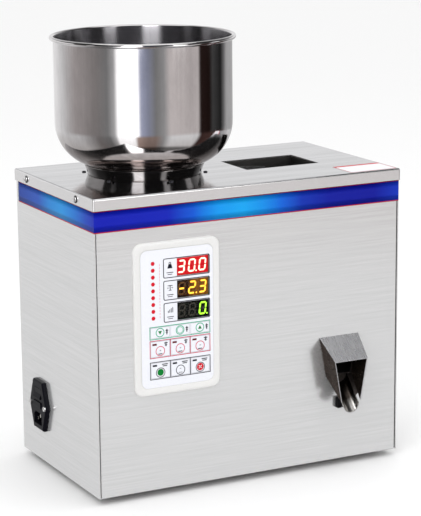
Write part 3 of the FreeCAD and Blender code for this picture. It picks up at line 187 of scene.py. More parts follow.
def lamp(name, place, aim, width, watts):
    """A square soft lamp at a place, turned so that it shines at the aim."""
    made = bpy.data.objects.new(name, bpy.data.lights.new(name, "AREA"))
    made.data.shape = "SQUARE"
    made.data.size = width
    made.data.energy = watts
    back = np.array(place) - np.array(aim)
    back = back / np.linalg.norm(back)
    side = np.cross((0.0, 0.0, 1.0), back)
    side = side / np.linalg.norm(side)
    turned = np.eye(4)
    turned[:3, :3] = np.stack([side, np.cross(back, side), back], axis=1)
    turned[:3, 3] = place
    made.matrix_world = Matrix(turned.tolist())
    made.visible_glossy = False
    bpy.context.scene.collection.objects.link(made)


lamp("lamp_front_left", (-1.6, -1.5, 1.8), (0.0, 0.0, 0.2), 1.2, 14.0)
lamp("lamp_above", (0.3, -0.3, 2.2), (0.0, 0.0, 0.2), 1.0, 8.0)

# %% A helper that turns a grid of points into a mesh
def new_piece(name, vertices, faces, finishes, choice=None, is_smooth=True):
    """A mesh object from vertices in millimetres. Choice gives each face the number of its finish."""
    mesh = bpy.data.meshes.new(name)
    mesh.from_pydata((np.asarray(vertices, float) * MM).tolist(), [], [list(map(int, face)) for face in faces])
    for finish in finishes:
        mesh.materials.append(finish)
    if choice is not None:
        mesh.polygons.foreach_set("material_index", np.asarray(choice, np.int32))
    mesh.polygons.foreach_set("use_smooth", np.full(len(mesh.polygons), is_smooth))
    made = bpy.data.objects.new(name, mesh)
    bpy.context.scene.collection.objects.link(made)
    return made


def grid_faces(rows, columns, around=True):
    """Quads between neighbouring points of a grid. With around, the last column meets the first."""
    index = np.arange(rows * columns).reshape(rows, columns)
    if around:
        index = np.concatenate([index, index[:, :1]], axis=1)
    return np.stack([index[:-1, :-1], index[:-1, 1:], index[1:, 1:], index[1:, :-1]], axis=-1).reshape(-1, 4)


def box_loop(x_low, x_high, z_low, z_high, radius=0.0, corner_steps=8):
    """A rectangle with rounded corners: four quarter circles whose centres are set in by the radius."""
    angle = np.radians(np.linspace(0, 90, corner_steps))
    corners = [(x_high - radius, z_high - radius, 0), (x_low + radius, z_high - radius, 90),
               (x_low + radius, z_low + radius, 180), (x_high - radius, z_low + radius, 270)]
    return np.concatenate([np.stack([x + radius * np.cos(angle + math.radians(turn)),
                                     z + radius * np.sin(angle + math.radians(turn))], axis=-1)
                           for x, z, turn in corners])


def close_up(piece, is_smooth_under=math.radians(40)):
    """Merges the points that meet at seams and poles, turns all faces outwards, and keeps edges
    sharper than the angle crisp."""
    shape = bmesh.new()
    shape.from_mesh(piece.data)
    bmesh.ops.remove_doubles(shape, verts=shape.verts, dist=1e-6)
    bmesh.ops.dissolve_degenerate(shape, dist=1e-7, edges=shape.edges)
    bmesh.ops.recalc_face_normals(shape, faces=shape.faces)
    for edge in shape.edges:
        edge.smooth = len(edge.link_faces) != 2 or edge.calc_face_angle(0.0) < is_smooth_under
    shape.to_mesh(piece.data)
    shape.free()
    return piece


print("mesh helpers ready")

# %% The curtain and the floor
CURTAIN_RADIUS, CURTAIN_HEIGHT, CURTAIN_DEPTH = 1300.0, 2400.0, 1900.0
CAMERA_SIDE = math.degrees(YAW)
DYES = {"plain": (1.0, 1.0, 1.0), "blue": (0.87, 0.93, 1.22), "brown": (1.06, 0.98, 0.96), "red": (1.5, 0.8, 0.7),
        "tan": (1.28, 0.96, 0.84)}
CURTAIN_STRENGTH = 4.0
# angle from the camera's own direction, to the viewer's right, with the brightness and the dye of the
# strips that hang at the height of the bowl
CLOTHS = ((-180, 0.97, "plain"), (-140, 0.80, "plain"), (-118, 0.60, "plain"), (-92, 0.36, "brown"),
          (-60, 0.20, "brown"), (-45, 0.18, "plain"), (-36, 0.40, "plain"), (-29, 1.9, "plain"), (-9, 1.9, "plain"),
          (-5, 0.45, "blue"), (4, 0.27, "blue"), (14, 0.20, "plain"), (24, 0.29, "plain"), (32, 0.52, "brown"),
          (60, 0.46, "brown"), (72, 0.50, "brown"), (75, 0.012, "red"), (92, 0.008, "red"), (98, 0.05, "plain"),
          (107, 0.03, "plain"), (116, 0.012, "plain"), (124, 0.12, "plain"), (132, 0.36, "plain"), (165, 0.44, "plain"),
          (176, 0.97, "plain"), (180, 0.97, "plain"))
# the same for the cloths below them, which the cabinet's walls see
LOW_CLOTHS = ((-180, 0.60, "plain"), (-165, 0.68, "plain"), (-90, 0.60, "plain"), (-60, 0.17, "brown"),
              (-43, 0.14, "plain"), (-35, 0.40, "plain"), (-32, 1.2, "plain"), (-12, 1.2, "plain"), (-9, 0.30, "tan"),
              (4, 0.17, "tan"), (14, 0.17, "tan"), (24, 0.27, "plain"), (34, 0.66, "plain"), (72, 0.66, "plain"), (78, 0.03, "red"),
              (124, 0.06, "red"), (140, 0.55, "plain"), (180, 0.60, "plain"))
# and for those above, which light the lid and the inside of the bowl
HIGH_CLOTHS = ((-180, 0.78, "plain"), (-125, 0.84, "plain"), (-110, 1.0, "plain"), (-88, 1.0, "plain"),
               (-85, 0.06, "plain"), (-69, 0.06, "plain"), (-66, 0.5, "plain"), (-59, 0.5, "plain"), (-56, 0.06, "plain"),
               (-25, 0.05, "blue"), (-22, 3.8, "plain"), (-3, 3.8, "plain"), (0, 0.06, "blue"), (34, 0.06, "blue"),
               (37, 3.6, "plain"), (51, 3.6, "plain"), (55, 0.08, "plain"), (88, 0.08, "plain"), (92, 1.0, "plain"),
               (104, 1.0, "plain"), (108, 0.2, "plain"), (145, 0.80, "plain"), (180, 0.78, "plain"))
# higher still it is dark but for one soft box, which is what the collar and the bowl's underside see
TOP_CLOTHS = ((-180, 0.70, "plain"), (-135, 0.50, "plain"), (-112, 0.10, "plain"), (-85, 0.02, "plain"),
              (-28, 0.02, "plain"), (-24, 3.8, "plain"), (-5, 3.8, "plain"), (-2, 0.02, "plain"), (36, 0.02, "plain"),
              (40, 1.0, "plain"), (48, 1.0, "plain"), (52, 0.02, "plain"), (125, 0.02, "plain"), (150, 0.3, "plain"),
              (180, 0.6, "plain"))
LOW_EDGE, HIGH_EDGE, TOP_EDGE = 0.05, 0.42, 0.80


def curtain_cloth():
    """Brightness by direction: the angle about the upright axis, counted from the camera's side,
    runs through a ramp whose stops are the strips of cloth."""
    made = bpy.data.materials.new("curtain_cloth")
    made.use_nodes = True
    tree = made.node_tree
    tree.nodes.clear()
    place = add(tree, "SeparateXYZ", Vector=add(tree, "TexCoord").outputs["Object"])
    angle = maths(tree, "ARCTAN2", place.outputs["X"], maths(tree, "MULTIPLY", place.outputs["Y"], -1.0))
    seen = maths(tree, "ADD", maths(tree, "DIVIDE", angle, 2 * math.pi), CAMERA_SIDE / 360 + 0.5)
    share = maths(tree, "FRACT", seen)
    middle, low, high, top = (ramp(tree, share, [((angle + 180) / 360, [value / CURTAIN_STRENGTH * part for part in DYES[dye]])
                                            for angle, value, dye in cloths])
                         for cloths in (CLOTHS, LOW_CLOTHS, HIGH_CLOTHS, TOP_CLOTHS))
    is_above_low, is_high, is_top = (ramp(tree, maths(tree, "MULTIPLY_ADD", place.outputs["Z"], 3.0, 0.5 - 3.0 * edge),
                                  [(0.3, level(0.0)), (0.7, level(1.0))]) for edge in (LOW_EDGE, HIGH_EDGE, TOP_EDGE))
    above = add(tree, "MixRGB", Fac=is_top, Color1=high, Color2=top)
    upper = add(tree, "MixRGB", Fac=is_high, Color1=middle, Color2=above.outputs[0])
    strips = add(tree, "MixRGB", Fac=is_above_low, Color1=low, Color2=upper.outputs[0])
    # far down the cloth fades into a dark pit
    depth = ramp(tree, maths(tree, "MULTIPLY", place.outputs["Z"], -1.0),
                 [(0.65, level(1.0)), (0.90, level(0.25))])
    seen_light = add(tree, "MixRGB", {"blend_type": "MULTIPLY"}, Fac=1.0, Color1=strips.outputs[0], Color2=depth)
    light = add(tree, "Emission", Color=seen_light.outputs[0], Strength=CURTAIN_STRENGTH)
    add(tree, "OutputMaterial", Surface=light.outputs[0])
    return made


def curtain():
    """A pot without a lid: a disc far below the floor, and a circle carried straight up from it."""
    angles = np.linspace(0, 2 * math.pi, 96, endpoint=False)
    radii = np.array([0.0, CURTAIN_RADIUS, CURTAIN_RADIUS])
    heights = np.array([-CURTAIN_DEPTH, -CURTAIN_DEPTH, CURTAIN_HEIGHT])
    points = np.stack([np.outer(radii, np.cos(angles)), np.outer(radii, np.sin(angles)),
                       np.outer(heights, np.ones(96))], axis=-1)
    made = new_piece("curtain", points.reshape(-1, 3), grid_faces(3, 96), [curtain_cloth()])
    made.visible_camera = False
    made.visible_diffuse = False
    made.visible_shadow = False
    made.visible_transmission = False


def floor():
    """A pale sheet of paper that is slightly uneven in its roughness."""
    paper = bpy.data.materials.new("floor_paper")
    paper.use_nodes = True
    tree = paper.node_tree
    shader = tree.nodes["Principled BSDF"]
    shader.inputs["Base Color"].default_value = (0.93, 0.93, 0.93, 1.0)
    noise = add(tree, "TexNoise", Vector=add(tree, "TexCoord").outputs["Object"], Scale=40.0)
    tree.links.new(maths(tree, "MULTIPLY_ADD", noise.outputs["Fac"], 0.1, 0.7), shader.inputs["Roughness"])
    side = 9000.0
    made = new_piece("floor", [(-side, -side, 0), (side, -side, 0), (side, side, 0), (-side, side, 0)],
                     [(0, 1, 2, 3)], [paper])
    made.visible_glossy = False


curtain()
floor()
print("studio ready")

# %% [markdown]
# ## Metals
# Sheet steel is brushed in one direction, spun steel is polished round its axis, and castings are
# rough. All of them are one recipe: noise that is stretched along the grain moves the colour and the
# roughness a little and makes shallow scratches through a bump node. Edges catch the light because
# the shading is rounded there, as a folded sheet's edge is.

# %% The recipe for metal
def metal(name, colour, roughness, grain, detail=3.0, play=0.06, shade=0.05, scratch=0.12, edge=0.0005,
          metallic=1.0):
    """Grain gives the noise's stretch along X, Y and Z, in waves per metre. Colour is multiplied by
    1 plus or minus shade and roughness moves by play, both with the noise."""
    made = bpy.data.materials.new(name)
    made.use_nodes = True
    tree = made.node_tree
    shader = tree.nodes["Principled BSDF"]
    shader.inputs["Metallic"].default_value = metallic
    along = add(tree, "Mapping", Vector=add(tree, "TexCoord").outputs["Object"], Scale=grain)
    noise = add(tree, "TexNoise", Vector=along.outputs[0], Scale=1.0, Detail=detail, Roughness=0.6)
    fine = noise.outputs["Fac"]
    tone = ramp(tree, fine, [(0.3, [c * (1 - shade) for c in colour]), (0.7, [min(1, c * (1 + shade)) for c in colour])])
    tree.links.new(tone, shader.inputs["Base Color"])
    tree.links.new(maths(tree, "MULTIPLY_ADD", fine, 2 * play, roughness - play), shader.inputs["Roughness"])
    rounded = add(tree, "Bevel", {"samples": 4}, Radius=edge)
    bump = add(tree, "Bump", Strength=scratch, Distance=0.0002, Height=fine, Normal=rounded.outputs[0])
    tree.links.new(bump.outputs[0], shader.inputs["Normal"])
    return made


def darken(finish, axis, start, end, shade):
    """Paints shade along an axis: multiplies the colour by nothing at the start and by the shade from
    the end on, both in metres."""
    tree = finish.node_tree
    shader = tree.nodes["Principled BSDF"]
    tone = shader.inputs["Base Color"].links[0].from_socket
    place = add(tree, "SeparateXYZ", Vector=add(tree, "TexCoord").outputs["Object"])
    share = add(tree, "MapRange", Value=place.outputs[axis], From_Min=start, From_Max=end)
    mixed = add(tree, "MixRGB", {"blend_type": "MULTIPLY"}, Fac=share.outputs[0], Color1=tone, Color2=(*shade, 1.0))
    tree.links.new(mixed.outputs[0], shader.inputs["Base Color"])
    return finish


def clouded(finish, waves, shade):
    """Multiplies the colour by a soft, broad noise between the shade and one, as handled steel has."""
    tree = finish.node_tree
    shader = tree.nodes["Principled BSDF"]
    tone = shader.inputs["Base Color"].links[0].from_socket
    along = add(tree, "Mapping", Vector=add(tree, "TexCoord").outputs["Object"], Scale=waves)
    cloud = add(tree, "TexNoise", Vector=along.outputs[0], Scale=1.0, Detail=5.0, Roughness=0.62)
    veil = ramp(tree, cloud.outputs["Fac"], [(0.35, [shade] * 3), (0.60, level(1.0))])
    mixed = add(tree, "MixRGB", {"blend_type": "MULTIPLY"}, Fac=1.0, Color1=tone, Color2=veil)
    tree.links.new(mixed.outputs[0], shader.inputs["Base Color"])
    return finish


def brushed_below(finish, height, colour, roughness, metallic):
    """Turns the finish into a plainer, brushed one below a height in metres, over half a millimetre."""
    tree = finish.node_tree
    shader = tree.nodes["Principled BSDF"]
    tone, gloss = (shader.inputs[socket].links[0].from_socket for socket in ("Base Color", "Roughness"))
    place = add(tree, "SeparateXYZ", Vector=add(tree, "TexCoord").outputs["Object"])
    share = add(tree, "MapRange", Value=place.outputs["Z"], From_Min=height, From_Max=height - 0.0005).outputs[0]
    mixed = add(tree, "MixRGB", Fac=share, Color1=tone, Color2=(*colour, 1.0))
    tree.links.new(mixed.outputs[0], shader.inputs["Base Color"])
    tree.links.new(maths(tree, "MULTIPLY_ADD", share, roughness - 0.095, gloss), shader.inputs["Roughness"])
    tree.links.new(maths(tree, "MULTIPLY_ADD", share, metallic - 1.0, 1.0), shader.inputs["Metallic"])
    return finish


def dress(finish, *names):
    """Gives a finish to the material slots of CAD nodes. Their meshes are left alone."""
    for name in names:
        mesh = nodes[name].data
        mesh.materials.clear()
        mesh.materials.append(finish)


print("metal recipe ready")

# %% Sheet metal
brushed = metal("brushed_walls", (0.86, 0.86, 0.865), 0.20, (9, 9, 650), shade=0.05, scratch=0.10, metallic=0.74)
lid_steel = metal("lid_steel", (0.80, 0.80, 0.82), 0.095, (14, 420, 420), shade=0.03, play=0.025, scratch=0.04)
# the duct, chute, base and funnel are coloured far darker than sheet steel: painted shade inside the cabinet
inner_steel_painted_shade = metal("inner_steel_painted_shade", (0.16, 0.155, 0.15), 0.38, (60, 60, 300), shade=0.12)
tray_steel = metal("tray_steel", (0.62, 0.62, 0.63), 0.30, (20, 500, 500))
dress(brushed, "side_and_back_wrap", "front_panel")
lid_top = max(corner[2] for corner in nodes["top_lid"].bound_box)
clouded(lid_steel, (5, 110, 110), 0.84)
brushed_below(lid_steel, lid_top - 0.0006, (0.84, 0.83, 0.835), 0.20, 0.74)
dress(lid_steel, "top_lid")
dress(inner_steel_painted_shade, "window_duct", "discharge_chute", "base_plate", "feed_funnel")
dress(tray_steel, "feeder_tray", "weigh_bucket", "bucket_door")
print("sheet metal dressed")

# %% Turned, cast and plated metal
turned = metal("turned_aluminium", (0.80, 0.80, 0.82), 0.28, (300, 300, 300), shade=0.03)
plated = metal("zinc_plate", (0.62, 0.64, 0.66), 0.34, (90, 90, 90), detail=5.0, shade=0.14, play=0.1)
spring = metal("blue_spring_steel", (0.30, 0.33, 0.40), 0.28, (700, 20, 20), shade=0.15)
iron = metal("cast_iron", (0.10, 0.10, 0.105), 0.62, (900, 900, 900), shade=0.3, scratch=0.5, metallic=0.6)
laminated = metal("core_sheets", (0.17, 0.17, 0.18), 0.5, (6, 6, 1600), shade=0.5, scratch=0.4)
nickel = metal("nickel_pins", (0.86, 0.83, 0.76), 0.2, (200, 800, 800))
switch_strip = metal("switch_strip", (0.05, 0.05, 0.052), 0.35, (400, 400, 30))
dress(turned, "load_cell", "tray_bracket")
dress(plated, "feeder_shelf", "load_cell_stand", "bucket_bracket", "base_spring_clamps", "tray_spring_clamps",
      "door_lever", "door_pin", "solenoid_plunger", "board_spacers")
dress(iron, "feeder_base")
dress(laminated, "coil_core", "armature_plate")
dress(nickel, "inlet_pins")
dress(switch_strip, "bag_switch_lever")
print("machined parts dressed")

# %% [markdown]
# ## The leaf springs
# Two leaning flat springs carry the trough. Their feet are clamped to the heavy block and their
# heads to the trough's carrier, so each one bends into a slight S when the magnet pulls. Each is a
# piece of its own here, in short straight rows from its foot to its head.

# %% The leaf springs
SPRING_LEAN = math.radians(15)
SPRING_UP = np.array([-math.sin(SPRING_LEAN), 0.0, math.cos(SPRING_LEAN)])
SPRING_OUT = np.array([math.cos(SPRING_LEAN), 0.0, math.sin(SPRING_LEAN)])
SPRING_ROWS = 29


def spring_ends(corners):
    """The four corners of the foot and those of the head, each in order round the middle line."""
    ends = []
    for end in np.split(corners[np.argsort(corners @ SPRING_UP)], 2):
        from_middle = end - end.mean(axis=0)
        ends.append(end[np.argsort(np.arctan2(from_middle[:, 1], from_middle @ SPRING_OUT))])
    return ends


def leaf_spring(name, corners):
    """Straight rows of four points from the foot to the head."""
    foot, head = spring_ends(corners)
    share = np.linspace(0, 1, SPRING_ROWS)[:, None, None]
    points = (foot + share * (head - foot)).reshape(-1, 3)
    last = 4 * SPRING_ROWS - 4
    faces = [*grid_faces(SPRING_ROWS, 4), (0, 1, 2, 3), (last, last + 1, last + 2, last + 3)]
    made = close_up(new_piece(name, points, faces, [spring], is_smooth=False))
    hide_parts("leaf_springs")
    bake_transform(made)
    return made


spring_corners = np.unique(np.round([v.co[:] for v in nodes["leaf_springs"].data.vertices], 6), axis=0) / MM
left_half, right_half = np.split(spring_corners[np.argsort(spring_corners @ SPRING_OUT)], 2)
springs = [leaf_spring("leaf_spring_left", left_half), leaf_spring("leaf_spring_right", right_half)]
print("leaf springs:", [len(made.data.polygons) for made in springs])

# %% [markdown]
# ## The spout's steel
# The spout is small and folded from thin satin sheet. Its roof looks up into the light, but its
# cheeks and its inside face dark corners. The recipe paints a mottled brown shade over every face
# that doesn't look up or forwards, by the face's own direction: painted shade.

# %% Spout finish
def spout_steel():
    """Satin steel with painted shade on its side faces, mottled brown: the share is one minus how far
    the true normal points upwards, with soft limits."""
    made = metal("spout_steel", (0.64, 0.64, 0.66), 0.28, (500, 60, 60), shade=0.08, edge=0.0009, metallic=0.78)
    tree = made.node_tree
    shader = tree.nodes["Principled BSDF"]
    tone = shader.inputs["Base Color"].links[0].from_socket
    facing = add(tree, "SeparateXYZ", Vector=add(tree, "NewGeometry").outputs["True Normal"])
    upwards = maths(tree, "MULTIPLY_ADD", facing.outputs["Z"], 3.0, -0.9)
    outwards = maths(tree, "MULTIPLY_ADD", facing.outputs["Y"], -3.0, -1.8)
    bright = maths(tree, "MINIMUM", maths(tree, "MAXIMUM", maths(tree, "MAXIMUM", upwards, outwards), 0.0), 1.0)
    # the dark, mottled brown mixed over the side faces is painted shade
    shade_mottle = add(tree, "TexNoise", Vector=add(tree, "TexCoord").outputs["Object"], Scale=420.0, Detail=4.0)
    dark = ramp(tree, shade_mottle.outputs["Fac"], [(0.3, (0.026, 0.019, 0.015)), (0.7, (0.085, 0.064, 0.052))])
    mix = add(tree, "MixRGB", Fac=bright, Color1=dark, Color2=tone)
    tree.links.new(mix.outputs[0], shader.inputs["Base Color"])
    return made


dress(spout_steel(), "spout_hood")
# towards the panel, under the hood, the trough is darkened to about a tenth: painted shade
dress(darken(metal("trough_steel", (0.62, 0.60, 0.58), 0.24, (60, 500, 500), shade=0.10), "Y", -0.1335, -0.1255,
             (0.10, 0.085, 0.075)), "spout_trough")
print("spout dressed")

# %% [markdown]
# ## Plastics, rubber and boards
# Moulded plastic isn't mirror smooth: fine spark texture breaks its gloss. The keypad is a printed
# film in an off-white frame, and the circuit boards carry copper tracks under green varnish.

# %% The recipe for plastic
def moulded(name, colour, roughness, speck=900.0, dent=0.08, shade=0.04, coat=0.0, gloss=0.5):
    """Colour and roughness follow a fine, even noise, which also dents the surface slightly."""
    made = metal(name, colour, roughness, (speck, speck, speck), detail=2.0, play=0.05, shade=shade,
                 scratch=dent, edge=0.0004, metallic=0.0)
    shader = made.node_tree.nodes["Principled BSDF"]
    shader.inputs["Specular IOR Level"].default_value = gloss
    shader.inputs["Coat Weight"].default_value = coat
    shader.inputs["Coat Roughness"].default_value = 0.12
    return made


black_plastic = moulded("black_plastic", (0.006, 0.006, 0.009), 0.30, dent=0.15, shade=0.3, gloss=0.07)
frame_plastic = moulded("frame_plastic", (0.75, 0.745, 0.735), 0.34)
film = moulded("keypad_film", (0.81, 0.82, 0.875), 0.28, speck=1500.0, dent=0.03, shade=0.015, coat=0.15)
rubber = moulded("black_rubber", (0.03, 0.03, 0.03), 0.75, speck=600.0, dent=0.3, shade=0.25)
dress(black_plastic, "inlet_body", "power_rocker", "fuse_drawer")
dress(moulded("switch_plastic", (0.006, 0.006, 0.007), 0.5, dent=0.15, shade=0.3, gloss=0.08), "bag_switch_body")
dress(frame_plastic, "keypad_bezel")
dress(film, "keypad_film", *[name for name in nodes if name.startswith("key_")])
dress(rubber, "feeder_mounts")
print("plastics dressed")

# %% Circuit boards
def board_varnish():
    """Green varnish with paler tracks: a brick pattern of thin lines, broken up by noise."""
    made = moulded("green_board", (0.02, 0.20, 0.08), 0.32)
    tree = made.node_tree
    shader = tree.nodes["Principled BSDF"]
    place = add(tree, "TexCoord").outputs["Object"]
    tracks = add(tree, "TexVoronoi", {"feature": "DISTANCE_TO_EDGE", "distance": "MANHATTAN"}, Vector=place,
                 Scale=160.0)
    tone = ramp(tree, tracks.outputs["Distance"],
                [(0.0, (0.06, 0.36, 0.14)), (0.10, (0.05, 0.33, 0.13)), (0.13, (0.015, 0.17, 0.06))])
    tree.links.new(tone, shader.inputs["Base Color"])
    return made


dress(board_varnish(), "control_board", "driver_board")
print("boards dressed")

# %% [markdown]
# ## The bowl
# The hopper is spun from one steel disc: a lathe presses the sheet over a form, and its edge is
# rolled into a bead. A turned shape is a profile carried round an axis, so its points are an outer
# product of radii and angles. The profile is a closed line round the wall's section, with true arcs
# where the solid has chords.

# %% Arcs, and a profile carried round an axis
def arc(x, z, radius, first, last, steps):
    """Points on an arc, angles in degrees from straight down towards the outside."""
    angle = np.radians(np.linspace(first, last, steps))
    return np.stack([x + radius * np.sin(angle), z - radius * np.cos(angle)], axis=-1)


def turned_points(profile, columns):
    """Radius and height become x, y and z: each profile point's radius times the cosine and sine of
    the angles, and its height for all of them."""
    angles = np.linspace(0, 2 * math.pi, columns, endpoint=False)
    profile = np.asarray(profile, float)
    return np.stack([np.outer(profile[:, 0], np.cos(angles)), np.outer(profile[:, 0], np.sin(angles)),
                     np.outer(profile[:, 1], np.ones(columns))], axis=-1)


def turned_piece(name, body, profile, centre, finishes, columns=96, turn_over=None):
    """A turned piece on an upright axis, whose profile's last point joins its first. From the point
    numbered turn_over on, it has the second finish."""
    profile = np.concatenate([profile, profile[:1]])
    points = turned_points(profile, columns) + np.array([*centre, 0.0])
    choice = None
    if turn_over is not None:
        choice = np.repeat(np.arange(len(profile) - 1) >= turn_over, columns)
    made = new_piece(name, points.reshape(-1, 3), grid_faces(len(profile), columns), finishes, choice)
    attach(close_up(made), body)
    return made


print("turning helpers ready")

# %% The bowl's profile
BOWL = {"neck": 50.4, "wall": 1.0, "corner": 50.0, "floor": 351.0, "rim": 495.5, "bead": 2.6, "tail": 340.0}


def bowl_profile():
    """From the neck's foot up the outside, round the bead, and down the inside."""
    radius = BOWL["neck"] + BOWL["corner"]
    middle = BOWL["floor"] + BOWL["corner"]
    bead_x = radius + BOWL["bead"] - BOWL["wall"]
    reach = math.degrees(math.acos(math.sqrt(BOWL["bead"] ** 2 - (BOWL["bead"] - BOWL["wall"]) ** 2) / BOWL["bead"]))
    wall = np.array([[radius, z] for z in (420.0, 450.0, 475.0, 488.0)])
    neck = np.array([[BOWL["neck"] - BOWL["wall"], BOWL["tail"]], [BOWL["neck"], BOWL["tail"]],
                     [BOWL["neck"], BOWL["floor"] - 0.4]])
    inner = np.array([[radius - BOWL["wall"], z] for z in (488.0, 475.0, 450.0, 420.0)])
    foot = np.array([[BOWL["neck"] - BOWL["wall"], BOWL["floor"] + BOWL["wall"]]])
    return np.concatenate([
        neck, arc(BOWL["neck"], middle, BOWL["corner"], 2, 90, 24), wall,
        arc(bead_x, BOWL["rim"], BOWL["bead"], -reach, 270, 28), inner,
        arc(BOWL["neck"], middle, BOWL["corner"] - BOWL["wall"], 90, 6, 22), foot])


polished = metal("polished_bowl", (0.86, 0.84, 0.85), 0.075, (160, 160, 3), detail=4.0, play=0.035, shade=0.05,
                 scratch=0.025, edge=0.0002)
# below 396 mm the bowl's outside turns darker and browner, to about half by 372 mm: painted shade on its underside
darken(clouded(polished, (30, 30, 14), 0.86), "Z", 0.396, 0.372, (0.55, 0.50, 0.47))
# the bowl's inside is satin, rougher than its outside, and its colour is set darker: painted shade inside the bowl
satin_inside_painted_shade = metal("spun_inside", (0.42, 0.41, 0.43), 0.25, (160, 160, 3), detail=4.0, play=0.02, shade=0.06,
                     scratch=0.03, edge=0.0002)
inside = satin_inside_painted_shade.node_tree.nodes["Principled BSDF"]
inside.inputs["Anisotropic"].default_value = 1.0
inside.inputs["Anisotropic Rotation"].default_value = 0.25
satin_inside_painted_shade.node_tree.links.new(
    add(satin_inside_painted_shade.node_tree, "Tangent", {"direction_type": "RADIAL", "axis": "Z"}).outputs[0], inside.inputs["Tangent"])
profile = bowl_profile()
first_inside = int(np.argmax(profile[:, 1])) + 6
bowl = turned_piece("spun_bowl", "hopper", profile, HOPPER, [polished, satin_inside_painted_shade], columns=160,
                    turn_over=first_inside)
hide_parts("hopper_bowl")
print("bowl faces:", len(bowl.data.polygons))

# %% [markdown]
# ## The collar
# The bowl rests in a flared ring whose flange is screwed down through the lid. It is polished too,
# and its upper edge is rounded over so that it doesn't score the bowl.

# %% The collar
def collar_profile():
    """Flange, flared wall and a half round lip, out and back at the sheet's thickness."""
    lip = arc(67.75, 353.1, 0.6, 60, 250, 9)
    return np.concatenate([np.array([[62.1, 339.1], [76.0, 339.1], [76.0, 340.3], [63.6, 340.3]]), lip])


# the polished collar's colour is set far darker than steel: painted shade
collar_steel = metal("polished_collar", (0.27, 0.256, 0.25), 0.06, (160, 160, 160), play=0.02, scratch=0.02, edge=0.0002)
collar = turned_piece("turned_collar", "machine", collar_profile(), HOPPER, [collar_steel], columns=128)
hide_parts("hopper_collar")
print("collar faces:", len(collar.data.polygons))

# %% [markdown]
# ## Feet
# The rubber feet are moulded with a slight taper, a rounded tread and a well for the screw.

# %% The feet
def foot_points():
    """One foot's profile, turned: up the tapered side and down into the screw's well."""
    side = np.array([[0.0, 3.4], [3.2, 3.4], [3.6, 3.0], [3.6, 0.3], [3.9, 0.0], [9.2, 0.0], [10.1, 0.3],
                     [10.4, 1.0], [11.0, 7.8], [11.0, 9.2], [0.0, 9.2]])
    return turned_points(side, 40)


feet_at = [(x, y) for x in (-148.0, 148.0) for y in (-67.5, 67.5)]
one_foot = foot_points().reshape(-1, 3)
foot_faces = grid_faces(11, 40)
feet = new_piece("moulded_feet", np.concatenate([one_foot + np.array([x, y, 0.0]) for x, y in feet_at]),
                 np.concatenate([foot_faces + len(one_foot) * step for step in range(len(feet_at))]), [rubber])
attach(close_up(feet), "machine")
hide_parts("rubber_feet")

# %% [markdown]
# ## Screws
# A screw head is a height over a disc: a dome, less a cross or a hexagon that the driver fits. The
# whole head is one formula on a polar grid, and copies of it are set on the machine by turning the
# grid's axes and moving it, so a row of screws is a single mesh.

# %% The head of a screw
def head_points(radius, height, drive, columns=48, rows=14):
    """Dome height times the root of 1 minus the squared share of the radius, less the recess, then
    straight down the rim. A cross is deep where the smaller of |x| and |y| is small and the larger
    is inside the arms; a hexagon is deep where the distance to its flats is positive; a plain
    head has no recess."""
    share = np.concatenate([np.linspace(0, 1, rows) ** 0.8, [1.0, 1.0, 0.0]])
    angles = np.linspace(0, 2 * math.pi, columns, endpoint=False)
    x, y = np.outer(share, np.cos(angles)), np.outer(share, np.sin(angles))
    if drive == "cross":
        dome = 0.35 + 0.65 * np.sqrt(np.clip(1 - (0.93 * share) ** 2, 0, 1))
        near, far = np.minimum(abs(x), abs(y)), np.maximum(abs(x), abs(y))
        deep = np.clip((0.15 - near) / 0.06, 0, 1) * np.clip((0.62 - far) / 0.10, 0, 1) * 0.55
    elif drive == "plain":
        dome, deep = np.clip(1.0 - np.clip(share - 0.9, 0, 1) * 2.0, 0, 1), np.zeros_like(x)
    else:
        dome = np.clip(1.0 - np.clip(share - 0.9, 0, 1) * 1.4, 0, 1)
        turnings = np.radians([0, 60, 120])
        flats = np.max(np.abs(np.outer(np.cos(turnings), x.ravel()) + np.outer(np.sin(turnings), y.ravel())), axis=0)
        deep = np.clip((0.52 - flats.reshape(x.shape)) / 0.08, 0, 1) * 0.6
    z = (np.ones_like(x) * dome[:, None] - deep) * height
    z[rows:] = np.array([0.0, -0.3, -0.3])[:, None]
    return np.stack([x * radius, y * radius, z], axis=-1).reshape(-1, 3), grid_faces(rows + 3, columns)


def screws(name, body, finish, places, axis, radius, height, drive="cross"):
    """Copies of one head with their axis along a direction, each turned a little differently."""
    axis = np.array(axis, float)
    side = np.cross(axis, (0.0, 0.0, 1.0) if abs(axis[2]) < 0.9 else (1.0, 0.0, 0.0))
    side = side / np.linalg.norm(side)
    other = np.cross(axis, side)
    points, faces = head_points(radius, height, drive)
    turns = np.arange(len(places)) * 1.1
    sides = np.cos(turns)[:, None] * side + np.sin(turns)[:, None] * other
    others = -np.sin(turns)[:, None] * side + np.cos(turns)[:, None] * other
    placed = (points[None, :, :1] * sides[:, None] + points[None, :, 1:2] * others[:, None]
              + points[None, :, 2:] * axis + np.array(places, float)[:, None])
    offsets = np.arange(len(places))[:, None, None] * len(points)
    made = new_piece(name, placed.reshape(-1, 3), (faces[None] + offsets).reshape(-1, 4), [finish])
    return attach(close_up(made), body)


steel_screw = metal("screw_steel", (0.88, 0.88, 0.88), 0.14, (500, 500, 500), shade=0.05, scratch=0.04, edge=0.0001)
dark_screw = metal("dark_screw", (0.07, 0.07, 0.08), 0.35, (700, 700, 700), shade=0.2, scratch=0.1, edge=0.0001)
print("screw head points:", len(head_points(1, 1, "cross")[0]))

